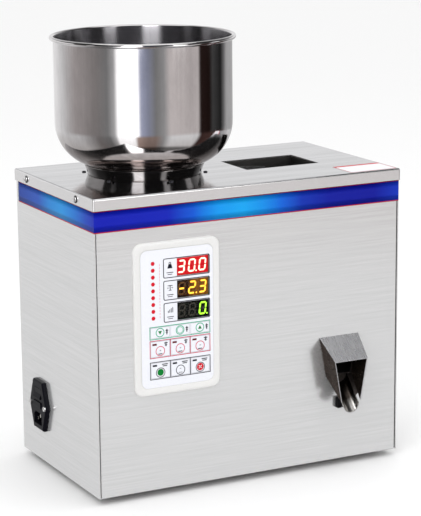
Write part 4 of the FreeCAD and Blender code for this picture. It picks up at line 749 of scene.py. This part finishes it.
# %% The screws of lid, collar and inlet
for side_name, direction in (("left", -1.0), ("right", 1.0)):
    screws("lid_screws_" + side_name, "machine", steel_screw,
           [(direction * 191.5, y, 334.4) for y in (-65.2, 73.8)], (direction, 0, 0), 3.3, 2.9)
    # a dark rubber disc behind each lid screw head paints its shadow
    screws("lid_screw_painted_shadows_" + side_name, "machine", rubber,
           [(direction * 191.5, y, 334.4) for y in (-65.2, 73.8)], (direction, 0, 0), 4.1, 0.7, "plain")
around = np.radians(30 + 60 * np.arange(6))
screws("collar_screws", "machine", dark_screw,
       np.stack([HOPPER[0] + 69 * np.cos(around), HOPPER[1] + 69 * np.sin(around), np.full(6, LID_TOP)], axis=-1),
       (0, 0, 1), 2.3, 1.4)
screws("inlet_screws", "machine", steel_screw, [(INLET["x"], y, INLET["z"]) for y in (29.2, 69.2)],
       (-1, 0, 0), 2.9, 1.8)
screws("back_screws", "machine", steel_screw,
       [(x, CABINET["back"], z) for z in (18.0, 318.0) for x in (-165.0, 0.0, 165.0)], (0, 1, 0), 3.3, 2.0)
print("outer screws set")

# %% [markdown]
# ## Seams and the spout's end
# The front panel stops a millimetre short of each side sheet, and a black strip in the seam
# paints the shade of the gap. Where the spout's trough meets the panel, a dark half disc paints the shade there.

# %% Seam strips and end plate, both painted shade
def block_piece(name, body, finish, corners, edge=0.15):
    """Boxes with bevelled edges in one mesh. Each row of corners gives x, y and z, low and high."""
    low, high = (np.array(corners, float)[:, side::2] for side in (0, 1))
    unit = np.array([[x, y, z] for x in (0, 1) for y in (0, 1) for z in (0, 1)], float)
    points = low[:, None] + unit[None] * (high - low)[:, None]
    sides = np.array([[0, 1, 3, 2], [4, 6, 7, 5], [0, 4, 5, 1], [2, 3, 7, 6], [0, 2, 6, 4], [1, 5, 7, 3]])
    faces = (sides[None] + 8 * np.arange(len(low))[:, None, None]).reshape(-1, 4)
    made = close_up(new_piece(name, points.reshape(-1, 3), faces, [finish], is_smooth=False))
    soft = made.modifiers.new("edges", "BEVEL")
    soft.width = edge * MM
    soft.segments = 2
    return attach(made, body)


SEAM_INSIDE, SEAM_WIDTH = 1.25, 0.9
# black strips in the two seams: painted shade of the gaps
block_piece("seam_painted_shade", "machine", rubber,
            [(x, x + SEAM_WIDTH, -109.3, -108.35, 9.4, 340.0)
             for x in (CABINET["left"] + SEAM_INSIDE, CABINET["right"] - SEAM_INSIDE - SEAM_WIDTH)])
# a dark half disc on the panel paints the shade where the trough meets it
half_circle = np.radians(np.linspace(180, 360, 25))
end_points = np.stack([SPOUT_X + 9.3 * np.cos(half_circle), np.full(25, CABINET["front"] - 0.1),
                       109.0 + 9.3 * np.sin(half_circle)], axis=-1)
# a dark brown sheet finish for the pieces that paint shade into the spout
painted_shade_sheet = metal("painted_shade_end", (0.05, 0.042, 0.038), 0.30, (500, 60, 500), shade=0.3, metallic=0.7)
end_plate = new_piece("trough_end", end_points, [list(range(25))], [painted_shade_sheet], is_smooth=False)
plate_thickness = end_plate.modifiers.new("thickness", "SOLIDIFY")
plate_thickness.thickness = 0.0001
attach(end_plate, "machine")
print("seams filled")

# %% The spout's webs and liner
WEB_REACH, WEB_THICK, LINER_THICK = 0.74, 0.6, 0.15
# the trough's rim and the cheek's lower edge, from the panel to the front, on the right of the axis
RIM_LINE = np.array([[10.2, -109.6, 109.0], [10.2, -137.5, 81.0]])
CHEEK_LINE = np.array([[16.5, -109.6, 109.0], [12.1, -137.5, 84.4]])
# the panel's opening: half width and height at its foot and its top
OPENING = np.array([[15.5, 110.0], [23.1, 153.0]])


def web_points(side, rows=12):
    """A ruled sheet: each row runs from a point of the rim to the point of the cheek's edge at the same
    share of the way, and the sheet sinks a little between them. Side is 1 on the right and -1 on the
    left. The same grid moved down by the thickness is its underside."""
    share = np.linspace(0, WEB_REACH, rows)[:, None, None]
    across = np.linspace(0, 1, 5)[None, :, None]
    rim, cheek = (line[0] + share * (line[1] - line[0]) for line in (RIM_LINE, CHEEK_LINE))
    sheet = rim + across * (cheek - rim) - np.array([0, 0, 1.0]) * (1.2 * across * (1 - across))
    sheet = sheet * np.array([side, 1, 1]) + np.array([SPOUT_X, 0, 0])
    return np.stack([sheet, sheet - np.array([0, 0, WEB_THICK])])


def closed_slab(top, under):
    """Two grids and the strips round their rims, as one closed shell."""
    rows, columns = top.shape[:2]
    index = np.arange(rows * columns).reshape(rows, columns)
    rim = np.concatenate([index[0, :-1], index[:-1, -1], index[-1, :0:-1], index[:0:-1, 0]])
    following, below = np.roll(rim, -1), rows * columns
    sides = np.stack([rim, following, following + below, rim + below], axis=-1)
    flat = grid_faces(rows, columns, around=False)
    return np.concatenate([top.reshape(-1, 3), under.reshape(-1, 3)]), np.concatenate([flat, flat[:, ::-1] + below, sides])


# the webs take the dark sheet finish: painted shade between the trough and the cheeks
for side_name, side in (("left", -1.0), ("right", 1.0)):
    points, faces = closed_slab(*web_points(side))
    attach(close_up(new_piece("spout_web_" + side_name, points, faces, [painted_shade_sheet])), "machine")


def liner_points():
    """The opening's four corners, moved outwards by each profile row's reach, at the row's y."""
    rows = ((-0.9, -109.65), (LINER_THICK, -109.65), (LINER_THICK, -108.35), (0.0, -108.35), (0.0, -109.5), (-0.9, -109.5))
    (foot, low), (head, high) = OPENING
    loops = []
    for inset, y in (*rows, rows[0]):
        half = np.array([foot, foot, head, head]) - inset
        z = np.array([low + inset, low + inset, high - inset, high - inset])
        loops.append(np.stack([SPOUT_X + half * np.array([-1, 1, 1, -1]), np.full(4, y), z], axis=-1))
    return np.concatenate(loops), grid_faces(len(loops), 4)


# the liner round the panel's opening takes the dark sheet finish: painted shade on the opening's edges
liner_mesh = liner_points()
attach(close_up(new_piece("spout_liner", *liner_mesh, [painted_shade_sheet], is_smooth=False)), "machine")
print("spout lined")

# %% [markdown]
# ## The keypad's frame
# The frame is moulded: its crown is rounded and its inner lip slopes down over the film's edge with
# wide corners. It is one profile of inset, depth and corner radius, and each of its points becomes a
# rounded rectangle, so the frame is a skin over a stack of loops.

# %% The frame as a stack of loops
FRAME_BOX = (-146.0, -42.0, 117.5, 288.0)
# inset from the outline, place along Y, and radius of the corners
FRAME_PROFILE = ((0.0, -109.5, 10.0), (0.0, -111.1, 10.0), (0.35, -111.9, 9.9), (1.1, -112.35, 9.6), (2.4, -112.5, 9.2),
                 (4.2, -112.42, 8.6), (6.2, -112.12, 8.0), (8.2, -111.78, 7.4), (8.3, -111.72, 7.4),
                 (5.1, -111.72, 0.05), (5.1, -111.06, 0.05), (8.0, -111.06, 0.05), (8.0, -109.5, 0.05))


def stacked_frame(profile, corner_steps=9):
    """Loops of a rounded rectangle with the inset, depth and radius of each profile point. The last
    loop joins the first."""
    x_low, x_high, z_low, z_high = FRAME_BOX
    loops = []
    for inset, y, radius in (*profile, profile[0]):
        flat = box_loop(x_low + inset, x_high - inset, z_low + inset, z_high - inset, radius, corner_steps)
        loops.append(np.stack([flat[:, 0], np.full(len(flat), y), flat[:, 1]], axis=-1))
    return np.concatenate(loops), grid_faces(len(loops), 4 * corner_steps)


frame_points, frame_faces = stacked_frame(FRAME_PROFILE)
keypad_frame = close_up(new_piece("keypad_frame", frame_points, frame_faces, [frame_plastic]))
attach(keypad_frame, "machine")
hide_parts("keypad_bezel")
print("frame faces:", len(keypad_frame.data.polygons))

# %% [markdown]
# ## The printed band
# A glossy strip is stuck round the cabinet just below the lid, across the left side, the front and
# the right side. It is a profile of two heights carried along a path that turns the corners on
# small arcs. The colour runs from navy through sky blue and back. It is a ramp on the strip's own
# U, the distance along the path, and V makes the thin red lines at its edges. On the real machine
# words are printed on it, and here it stays bare.

# %% The band's path
BAND_LOW, BAND_HIGH, BAND_PROUD, BAND_TURN = 304.0, 328.1, 0.15, 0.3


def band_path():
    """Along the left side from back to front, round the corner, along the front, and back along the
    right side. Each corner is a quarter circle, and straight runs have points 4 mm apart."""
    left, right = CABINET["left"] - BAND_PROUD, CABINET["right"] + BAND_PROUD
    front, back = CABINET["front"] - BAND_PROUD, CABINET["back"] - 3.0
    quarter = np.radians(np.linspace(0, 90, 7))
    first = np.stack([left + BAND_TURN * (1 - np.cos(quarter)), front + BAND_TURN * (1 - np.sin(quarter))], axis=-1)
    second = np.stack([right - BAND_TURN * (1 - np.sin(quarter)), front + BAND_TURN * (1 - np.cos(quarter))], axis=-1)
    ys = np.arange(front + BAND_TURN + 4, back, 4.0)
    xs = np.arange(left + BAND_TURN + 4, right - BAND_TURN - 3, 4.0)
    return np.concatenate([
        np.stack([np.full(len(ys), left), ys[::-1]], axis=-1), first,
        np.stack([xs, np.full(len(xs), front)], axis=-1), second,
        np.stack([np.full(len(ys), right), ys], axis=-1)])


path = band_path()
steps = np.linalg.norm(np.diff(path, axis=0), axis=1)
along = np.concatenate([[0.0], np.cumsum(steps)])
print("band length in mm:", round(float(along[-1]), 1))

# %% The band's print
# distance from the strip's left-back end in mm, and the colour there
BAND_INKS = ((0, (0.012, 0.05, 0.33)), (60, (0.02, 0.09, 0.46)), (90, (0.012, 0.22, 0.62)), (125, (0.014, 0.28, 0.70)),
             (160, (0.008, 0.17, 0.60)), (190, (0.006, 0.06, 0.48)), (215, (0.0015, 0.008, 0.42)),
             (300, (0.0015, 0.012, 0.44)), (330, (0.0015, 0.09, 0.62)), (360, (0.002, 0.30, 0.82)),
             (392, (0.003, 0.36, 0.84)), (415, (0.002, 0.27, 0.78)), (440, (0.002, 0.12, 0.66)),
             (465, (0.002, 0.03, 0.42)), (500, (0.0015, 0.008, 0.32)), (560, (0.0015, 0.006, 0.31)),
             (590, (0.003, 0.03, 0.46)), (640, (0.01, 0.20, 0.60)), (700, (0.012, 0.24, 0.66)),
             (805, (0.004, 0.02, 0.33)))


def band_print(length):
    """A ramp on U gives the blues, and V picks red within about a millimetre of either edge."""
    made = moulded("band_print", (0.01, 0.05, 0.4), 0.42, speck=1400.0, dent=0.02, gloss=0.15)
    tree = made.node_tree
    shader = tree.nodes["Principled BSDF"]
    uv = add(tree, "SeparateXYZ", Vector=add(tree, "UVMap", {"uv_map": "strip"}).outputs[0])
    blues = ramp(tree, uv.outputs["X"], [(place / length, colour) for place, colour in BAND_INKS])
    grain = add(tree, "TexNoise", Vector=add(tree, "TexCoord").outputs["Object"], Scale=900.0)
    speckled = add(tree, "MixRGB", {"blend_type": "MULTIPLY"}, Fac=0.15, Color1=blues, Color2=grain.outputs["Color"])
    from_middle = maths(tree, "ABSOLUTE", maths(tree, "SUBTRACT", uv.outputs["Y"], 0.5))
    is_edge = maths(tree, "GREATER_THAN", from_middle, 0.5 - 1.1 / (BAND_HIGH - BAND_LOW))
    inks = add(tree, "MixRGB", Fac=is_edge, Color1=speckled.outputs[0], Color2=(0.72, 0.01, 0.02, 1.0))
    tree.links.new(inks.outputs[0], shader.inputs["Base Color"])
    return made


def make_band():
    """Path points at two heights. U is the distance along the path over its length, V the height."""
    heights = np.linspace(BAND_LOW, BAND_HIGH, 4)
    points = np.stack([np.tile(path[:, 0], (4, 1)), np.tile(path[:, 1], (4, 1)),
                       np.tile(heights[:, None], (1, len(path)))], axis=-1)
    made = new_piece("printed_band", points.reshape(-1, 3), grid_faces(4, len(path), around=False),
                     [band_print(float(along[-1]))])
    uv = made.data.uv_layers.new(name="strip")
    corner_vertex = np.empty(len(made.data.loops), np.int32)
    made.data.loops.foreach_get("vertex_index", corner_vertex)
    u = (along / along[-1])[corner_vertex % len(path)]
    v = (np.linspace(0, 1, 4))[corner_vertex // len(path)]
    uv.data.foreach_set("uv", np.stack([u, v], axis=-1).ravel())
    thick = made.modifiers.new("thickness", "SOLIDIFY")
    thick.thickness = 0.0001
    thick.offset = -1.0
    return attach(made, "machine")


band = make_band()
print("band faces:", len(band.data.polygons))

# %% [markdown]
# ## Flat prints
# The keypad's marks are ink on film. Each mark is a flat shape between two loops of points, or one
# filled loop, laid on the surface in a plane of its own and given the thickness of a thick ink
# layer. A print that belongs to a key rides on that key.

# %% Loops and the areas between them
def circle_loop(x, z, radius, count=48):
    """Points on a circle, counter-clockwise."""
    angle = np.linspace(0, 2 * math.pi, count, endpoint=False)
    return np.stack([x + radius * np.cos(angle), z + radius * np.sin(angle)], axis=-1)


def between(outer, inner, ink=0):
    """The area between two loops with the same number of points, as quads."""
    count = len(outer)
    ring = np.arange(count)
    following = (ring + 1) % count
    faces = np.stack([ring, following, following + count, ring + count], axis=-1)
    return np.concatenate([outer, inner]), faces.tolist(), ink


def filled(loop, ink=0):
    """The area inside one loop, as a single face."""
    return np.asarray(loop, float), [list(range(len(loop)))], ink


def ring(x, z, radius, width, ink=0):
    """A printed circle line."""
    return between(circle_loop(x, z, radius), circle_loop(x, z, radius - width), ink)


def frame_line(x_low, x_high, z_low, z_high, width, radius=0.0, ink=0):
    """A printed frame, its line inside the rectangle."""
    outer = box_loop(x_low, x_high, z_low, z_high, radius)
    inner = box_loop(x_low + width, x_high - width, z_low + width, z_high - width, max(radius - width, 0.0))
    return between(outer, inner, ink)


def bar(x_low, x_high, z_low, z_high, ink=0):
    """A printed rectangle."""
    return filled([(x_low, z_low), (x_high, z_low), (x_high, z_high), (x_low, z_high)], ink)


print("a ring has", len(ring(0, 0, 1, 0.1)[1]), "faces")

# %% Laying a print on a surface
INK_THICK = 0.00005


def lay_print(name, body, shapes, inks, origin=(0.0, FILM_FACE, 0.0), across=(1, 0, 0), up=(0, 0, 1), thick=INK_THICK):
    """Each point is the origin plus its first number along across plus its second along up. The face
    normal is across times up, so the print looks out of the surface, and it grows that way."""
    across, up = np.array(across, float), np.array(up, float)
    vertices, faces, choice, base = [], [], [], 0
    for points, shape_faces, ink in shapes:
        vertices.append(np.array(origin) + points[:, :1] * across + points[:, 1:] * up)
        faces += [[corner + base for corner in face] for face in shape_faces]
        choice += [ink] * len(shape_faces)
        base += len(points)
    made = new_piece(name, np.concatenate(vertices), faces, inks, choice, is_smooth=False)
    body_thickness = made.modifiers.new("ink", "SOLIDIFY")
    body_thickness.thickness = thick
    body_thickness.offset = 1.0
    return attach(made, body)


def ink(name, colour, roughness=0.35):
    """Printing ink: a plain plastic with a little mottling."""
    return moulded(name, colour, roughness, speck=2500.0, dent=0.02, shade=0.08, gloss=0.1)


INKS = {"green": ink("ink_green", (0.015, 0.42, 0.22)), "dark_green": ink("ink_dark_green", (0.003, 0.20, 0.03)),
        "pink": ink("ink_pink", (0.62, 0.03, 0.08)), "red": ink("ink_red", (0.62, 0.006, 0.02)),
        "black": ink("ink_black", (0.008, 0.01, 0.02)), "white": ink("ink_white", (0.85, 0.85, 0.88)),
        "maroon": ink("ink_maroon", (0.12, 0.004, 0.01))}
print("inks:", sorted(INKS))

# %% Frames, label boxes and marks on the film
def row_frame(low, high, ink_number, has_dividers):
    """A row's frame, drawn as four bars in the seams round the keys, with bars between the keys."""
    left, right, line = -128.0, -54.0, 0.8
    shapes = [bar(left, right, low, low + line, ink_number), bar(left, right, high - line, high, ink_number),
              bar(left, left + line, low, high, ink_number), bar(right - line, right, low, high, ink_number)]
    if has_dividers:
        shapes += [bar(x - line / 2, x + line / 2, low, high, ink_number) for x in (-103.15, -78.85)]
    return shapes


def weight_mark(x, z, size):
    """A pictogram of a weight: a trapezium with a ring handle."""
    body = filled([(x - size, z - size), (x + size, z - size), (x + size * 0.6, z + size * 0.5),
                   (x - size * 0.6, z + size * 0.5)], 3)
    return [body, ring(x, z + size * 0.85, size * 0.5, size * 0.25, 3)]


def scale_mark(x, z, size):
    """A pictogram of scales: a beam, a post and two pans."""
    return [bar(x - size, x + size, z + size * 0.7, z + size * 0.95, 3), bar(x - 0.15 * size, x + 0.15 * size,
            z - size, z + size, 3), bar(x - size * 1.2, x - size * 0.5, z - size * 0.1, z + size * 0.12, 3),
            bar(x + size * 0.5, x + size * 1.2, z - size * 0.1, z + size * 0.12, 3),
            bar(x - size * 0.6, x + size * 0.6, z - size, z - size * 0.8, 3)]


def count_mark(x, z, size):
    """A pictogram of counting: four upright strokes of growing height."""
    return [bar(x - size + step * 0.6 * size, x - size + step * 0.6 * size + 0.28 * size, z - size,
                z - size + (step + 2) * 0.4 * size, 3) for step in range(4)]


film_shapes = row_frame(180.0, 194.5, 0, False) + row_frame(159.0, 179.0, 1, True) + row_frame(135.0, 155.0, 2, True)
for middle, mark in zip(DISPLAY_ROWS, (weight_mark, scale_mark, count_mark)):
    film_shapes += [between(box_loop(-110.6, -53.9, middle - 11.0, middle + 11.0, 2.2),
                            box_loop(-109.6, -54.8, middle - 10.1, middle + 10.1, 1.4), 3)]
    film_shapes += mark(-102.4, middle + 2.6, 3.0)
    film_shapes += [bar(-106.4, -98.4, middle - 5.4, middle - 4.6, 3), bar(-105.2, -99.6, middle - 7.4, middle - 6.7, 3)]
film_shapes += [filled(circle_loop(-123.0, 204.0 + step * 7.6, 2.5, 6), 4) for step in range(9)]
film_shapes += [bar(-115.2, -114.7, 204.0 + step * 3.4, 205.8 + step * 3.4, 5) for step in range(18)]
film_print = lay_print("film_print", "machine", film_shapes,
                       [INKS["green"], INKS["pink"], INKS["black"], INKS["black"], INKS["red"], INKS["pink"]])
print("film marks:", len(film_shapes))

# %% The keys' prints
def triangle(x, z, size, is_up):
    """A triangle that points up or down."""
    turn = 1.0 if is_up else -1.0
    corners = [(x - size, z - turn * size * 0.75), (x + size, z - turn * size * 0.75), (x, z + turn * size)]
    return filled(corners if is_up else corners[::-1], 1)


def slanted(x, z, half, width, turn):
    """One stroke of a cross, turned by 45 degrees one way or the other."""
    along = np.array([1.0, turn]) / math.sqrt(2)
    aside = np.array([-turn, 1.0]) / math.sqrt(2) * width
    middle = np.array([x, z])
    return filled([middle - along * half - aside, middle + along * half - aside, middle + along * half + aside,
                   middle - along * half + aside], 2)


def key_shapes(name, x):
    """Every key has a ring, and its row and name give the rest."""
    if name in ("down", "stop", "up"):
        shapes = [ring(x, 187.4, 5.2, 0.9, 0), bar(x + 6.7, x + 9.8, 188.4, 189.5, 3), bar(x + 7.0, x + 9.5, 186.4, 187.4, 3),
                  bar(x + 7.7, x + 8.8, 184.4, 190.6, 3)]
        if name == "stop":
            return shapes + [ring(x, 187.4, 3.7, 0.5, 0)], ("green", "dark_green", "white", "black")
        return shapes + [triangle(x, 187.4, 2.3, name == "up")], ("green", "dark_green", "white", "black")
    if name in ("left", "set", "right"):
        return [ring(x, 166.6, 5.6, 0.8, 0), bar(x - 2.4, x + 2.4, 162.9, 163.9, 1), bar(x - 0.6, x + 0.9, 166.9, 167.6, 1),
                bar(x - 9.4, x - 4.2, 173.4, 175.5, 2), bar(x + 4.8, x + 9.0, 174.5, 175.6, 1),
                bar(x + 6.4, x + 7.5, 171.2, 176.2, 1), bar(x + 5.4, x + 8.4, 172.3, 173.3, 1)], ("pink", "black", "maroon")
    shapes = [ring(x, 142.4, 5.6, 0.8, 1), bar(x - 9.4, x - 4.2, 149.7, 151.7, 1), bar(x + 1.8, x + 8.8, 150.8, 151.9, 1),
              bar(x + 2.6, x + 8.0, 149.0, 150.0, 1)]
    if name == "start":
        return shapes + [filled(circle_loop(x, 142.6, 3.9), 0)], ("dark_green", "black", "white")
    if name == "cancel":
        strokes = [slanted(x, 142.6, 2.6, 0.36, turn) for turn in (1.0, -1.0)]
        return shapes + [filled(circle_loop(x, 142.6, 4.2), 0)] + strokes, ("red", "black", "white")
    return shapes + [bar(x - 2.3, x + 2.3, 139.2, 139.8, 1), bar(x - 0.9, x + 0.9, 143.6, 144.2, 1)], ("red", "black", "white")


key_names = (("down", "stop", "up"), ("left", "set", "right"), ("start", "clear", "cancel"))
for row in key_names:
    for x, name in zip(KEY_COLUMNS, row):
        shapes, used = key_shapes(name, x)
        top = [shape for shape in shapes if shape[2] == 2 and name == "cancel"]
        under = [shape for shape in shapes if not (shape[2] == 2 and name == "cancel")]
        lay_print("print_" + name, name + "_key", under, [INKS[ink_name] for ink_name in used])
        if top:
            lay_print("print_cross", name + "_key", top, [INKS[ink_name] for ink_name in used],
                      origin=(0.0, FILM_FACE - INK_THICK * 1000, 0.0))
print("keys printed")

# %% [markdown]
# ## Lit digits
# Behind each clear window stands a block of three digits of seven segments. Each segment is a bar
# with pointed ends, leaning a little to the right. Lit segments give off light, and the others show
# as dull bars. The top block glows red all over, the middle one shows amber, the lowest green.

# %% The segments
DIGIT = {"half_wide": 3.5, "half_high": 6.3, "thick": 0.92, "lean": math.tan(math.radians(7)), "pitch": 12.7}
SEGMENTS = {"top": ((-1, 1), (1, 1)), "upper_left": ((-1, 0), (-1, 1)), "upper_right": ((1, 0), (1, 1)),
            "middle": ((-1, 0), (1, 0)), "lower_left": ((-1, -1), (-1, 0)), "lower_right": ((1, -1), (1, 0)),
            "low": ((-1, -1), (1, -1))}
LIT = {"3": ("top", "upper_right", "middle", "lower_right", "low"),
       "0": ("top", "upper_left", "upper_right", "lower_left", "lower_right", "low"),
       "2": ("top", "upper_right", "middle", "lower_left", "low"), "-": ("middle",), " ": ()}


def segment(start, end, x, z, ink_number):
    """A hexagon about the line from start to end: its ends are points, its sides half a bar away."""
    size = np.array([DIGIT["half_wide"], DIGIT["half_high"]])
    start, end = np.array(start) * size, np.array(end) * size
    along = (end - start) / np.linalg.norm(end - start)
    aside = np.array([-along[1], along[0]]) * DIGIT["thick"]
    start, end = start + along * 0.25, end - along * 0.25
    tip = along * DIGIT["thick"]
    loop = np.array([start, start + tip - aside, end - tip - aside, end, end - tip + aside, start + tip + aside])
    loop[:, 0] += loop[:, 1] * DIGIT["lean"]
    return filled(loop + np.array([x, z]), ink_number)


def digits(text, middle, point_after):
    """Three digits from left to right. Ink 0 is lit and ink 1 isn't."""
    shapes = []
    for place, letter in enumerate(text):
        x = DISPLAY_X + (place - 1) * DIGIT["pitch"] - 0.6
        shapes += [segment(*line, x, middle, 0 if name in LIT[letter] else 1) for name, line in SEGMENTS.items()]
        shapes.append(filled(circle_loop(x + 5.1, middle - 6.4, 0.9, 16), 0 if place == point_after else 1))
    return shapes


def glow(name, colour, strength):
    """Light from a segment, its colour varied a little by noise."""
    made = bpy.data.materials.new(name)
    made.use_nodes = True
    tree = made.node_tree
    shader = tree.nodes["Principled BSDF"]
    noise = add(tree, "TexNoise", Vector=add(tree, "TexCoord").outputs["Object"], Scale=700.0)
    tone = ramp(tree, noise.outputs["Fac"], [(0.3, [c * 0.9 for c in colour]), (0.7, colour)])
    tree.links.new(tone, shader.inputs["Base Color"])
    tree.links.new(tone, shader.inputs["Emission Color"])
    shader.inputs["Emission Strength"].default_value = strength
    shader.inputs["Specular IOR Level"].default_value = 0.0
    return made


lit_red = glow("lit_red", (1.0, 0.78, 0.62), 1.3)
lit_amber = glow("lit_amber", (1.0, 0.52, 0.05), 1.7)
lit_green = glow("lit_green", (0.42, 1.0, 0.05), 1.3)
dull_red = glow("dull_red", (0.42, 0.004, 0.008), 0.7)
dull_amber = glow("dull_amber", (0.12, 0.055, 0.02), 0.3)
dull_grey = glow("dull_grey", (0.05, 0.046, 0.038), 0.2)
block_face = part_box("display_modules")[0][1] * 1000
for row, (text, point_after, lit, dull) in enumerate((("300", 1, lit_red, dull_red), ("-23", 1, lit_amber, dull_amber),
                                                      ("  0", 2, lit_green, dull_grey))):
    lay_print(f"digits_{row + 1}", "machine", digits(text, DISPLAY_ROWS[row], point_after), [lit, dull],
              origin=(0.0, block_face, 0.0))
print("digits stand at y", round(block_face, 2))

# %% The blocks and their windows
def digit_block():
    """Dark moulding whose top block glows red and whose middle one glows faintly amber towards its
    right: steps on the height pick the block, and a ramp on X spreads the amber."""
    made = glow("digit_block", (0.003, 0.003, 0.003), 1.0)
    tree = made.node_tree
    shader = tree.nodes["Principled BSDF"]
    place = add(tree, "SeparateXYZ", Vector=add(tree, "TexCoord").outputs["Object"])
    is_top = maths(tree, "GREATER_THAN", place.outputs["Z"], 0.2457)
    is_upper = maths(tree, "GREATER_THAN", place.outputs["Z"], 0.2210)
    share = maths(tree, "MULTIPLY_ADD", place.outputs["X"], 1 / 0.038, 0.0935 / 0.038)
    amber = ramp(tree, share, [(0.0, (0.012, 0.005, 0.003)), (0.35, (0.03, 0.011, 0.004)), (0.55, (0.22, 0.085, 0.01)),
                               (1.0, (0.20, 0.075, 0.01))])
    low = add(tree, "MixRGB", Fac=is_upper, Color1=(0.004, 0.005, 0.004, 1.0), Color2=amber)
    tone = add(tree, "MixRGB", Fac=is_top, Color1=low.outputs[0], Color2=(0.72, 0.012, 0.018, 1.0))
    tree.links.new(tone.outputs[0], shader.inputs["Emission Color"])
    shader.inputs["Roughness"].default_value = 0.5
    return made


def pane():
    """Clear plastic with a faint haze."""
    made = moulded("window_pane", (0.97, 0.96, 0.96), 0.05, speck=500.0, dent=0.01, gloss=0.15)
    shader = made.node_tree.nodes["Principled BSDF"]
    shader.inputs["Transmission Weight"].default_value = 1.0
    shader.inputs["IOR"].default_value = 1.12
    return made


dress(digit_block(), "display_modules")
dress(pane(), "display_windows")
print("displays lit")

# %% [markdown]
# ## The sticker on the lid
# A white paper label with a red strip and outline lies on the lid's front right corner. Its words
# are left off.

# %% The sticker
sticker_shapes = [bar(128.0, 188.0, -107.5, -66.5, 0)]
sticker_lines = [bar(128.0, 188.0, -71.5, -66.5, 0), bar(128.0, 188.0, -107.5, -106.7, 0),
                 bar(128.0, 128.8, -106.7, -71.5, 0), bar(187.2, 188.0, -106.7, -71.5, 0)]
lay_print("sticker", "machine", sticker_shapes, [INKS["white"]], origin=(0.0, 0.0, LID_TOP), up=(0, 1, 0), thick=0.0001)
lay_print("sticker_print", "machine", sticker_lines, [INKS["red"]], origin=(0.0, 0.0, LID_TOP + 0.1), up=(0, 1, 0))
print("sticker laid")

# %% [markdown]
# ## Windings
# A coil is wire wound side by side. At this size the turns show as fine ribs, so a wave along the
# coil's axis shades and dents the surface of its solid, over the copper's own colour.

# %% Copper windings
def winding(name, colour, direction, wire):
    """Ribs of a given wire thickness along X, Y or Z, as a wave of bands that drives a bump."""
    made = metal(name, colour, 0.36, (300, 300, 300), shade=0.1, metallic=0.7)
    tree = made.node_tree
    shader = tree.nodes["Principled BSDF"]
    wave = add(tree, "TexWave", {"bands_direction": direction, "wave_profile": "SIN"},
               Vector=add(tree, "TexCoord").outputs["Object"], Scale=0.314 / wire)
    bump = add(tree, "Bump", Strength=0.7, Distance=wire / 2, Height=wave.outputs["Fac"])
    tree.links.new(bump.outputs[0], shader.inputs["Normal"])
    # the grooves between the turns are darkened to about a third: painted shade
    tone = ramp(tree, wave.outputs["Fac"], [(0.0, [c * 0.35 for c in colour]), (0.5, colour)])
    tree.links.new(tone, shader.inputs["Base Color"])
    return made


dress(winding("feeder_copper", (0.62, 0.26, 0.10), "X", 0.0008), "feeder_coil")
dress(winding("solenoid_copper", (0.50, 0.20, 0.07), "Y", 0.0006), "door_solenoid")
dress(laminated, "mains_transformer")
print("windings dressed")

# %% Every CAD node has a finish
for name, node in nodes.items():
    if not node.data.materials or node.data.materials[0] is None or not node.data.materials[0].use_nodes:
        print("still bare:", name)
dress(frame_plastic, *[name for name, node in nodes.items() if not node.data.materials])
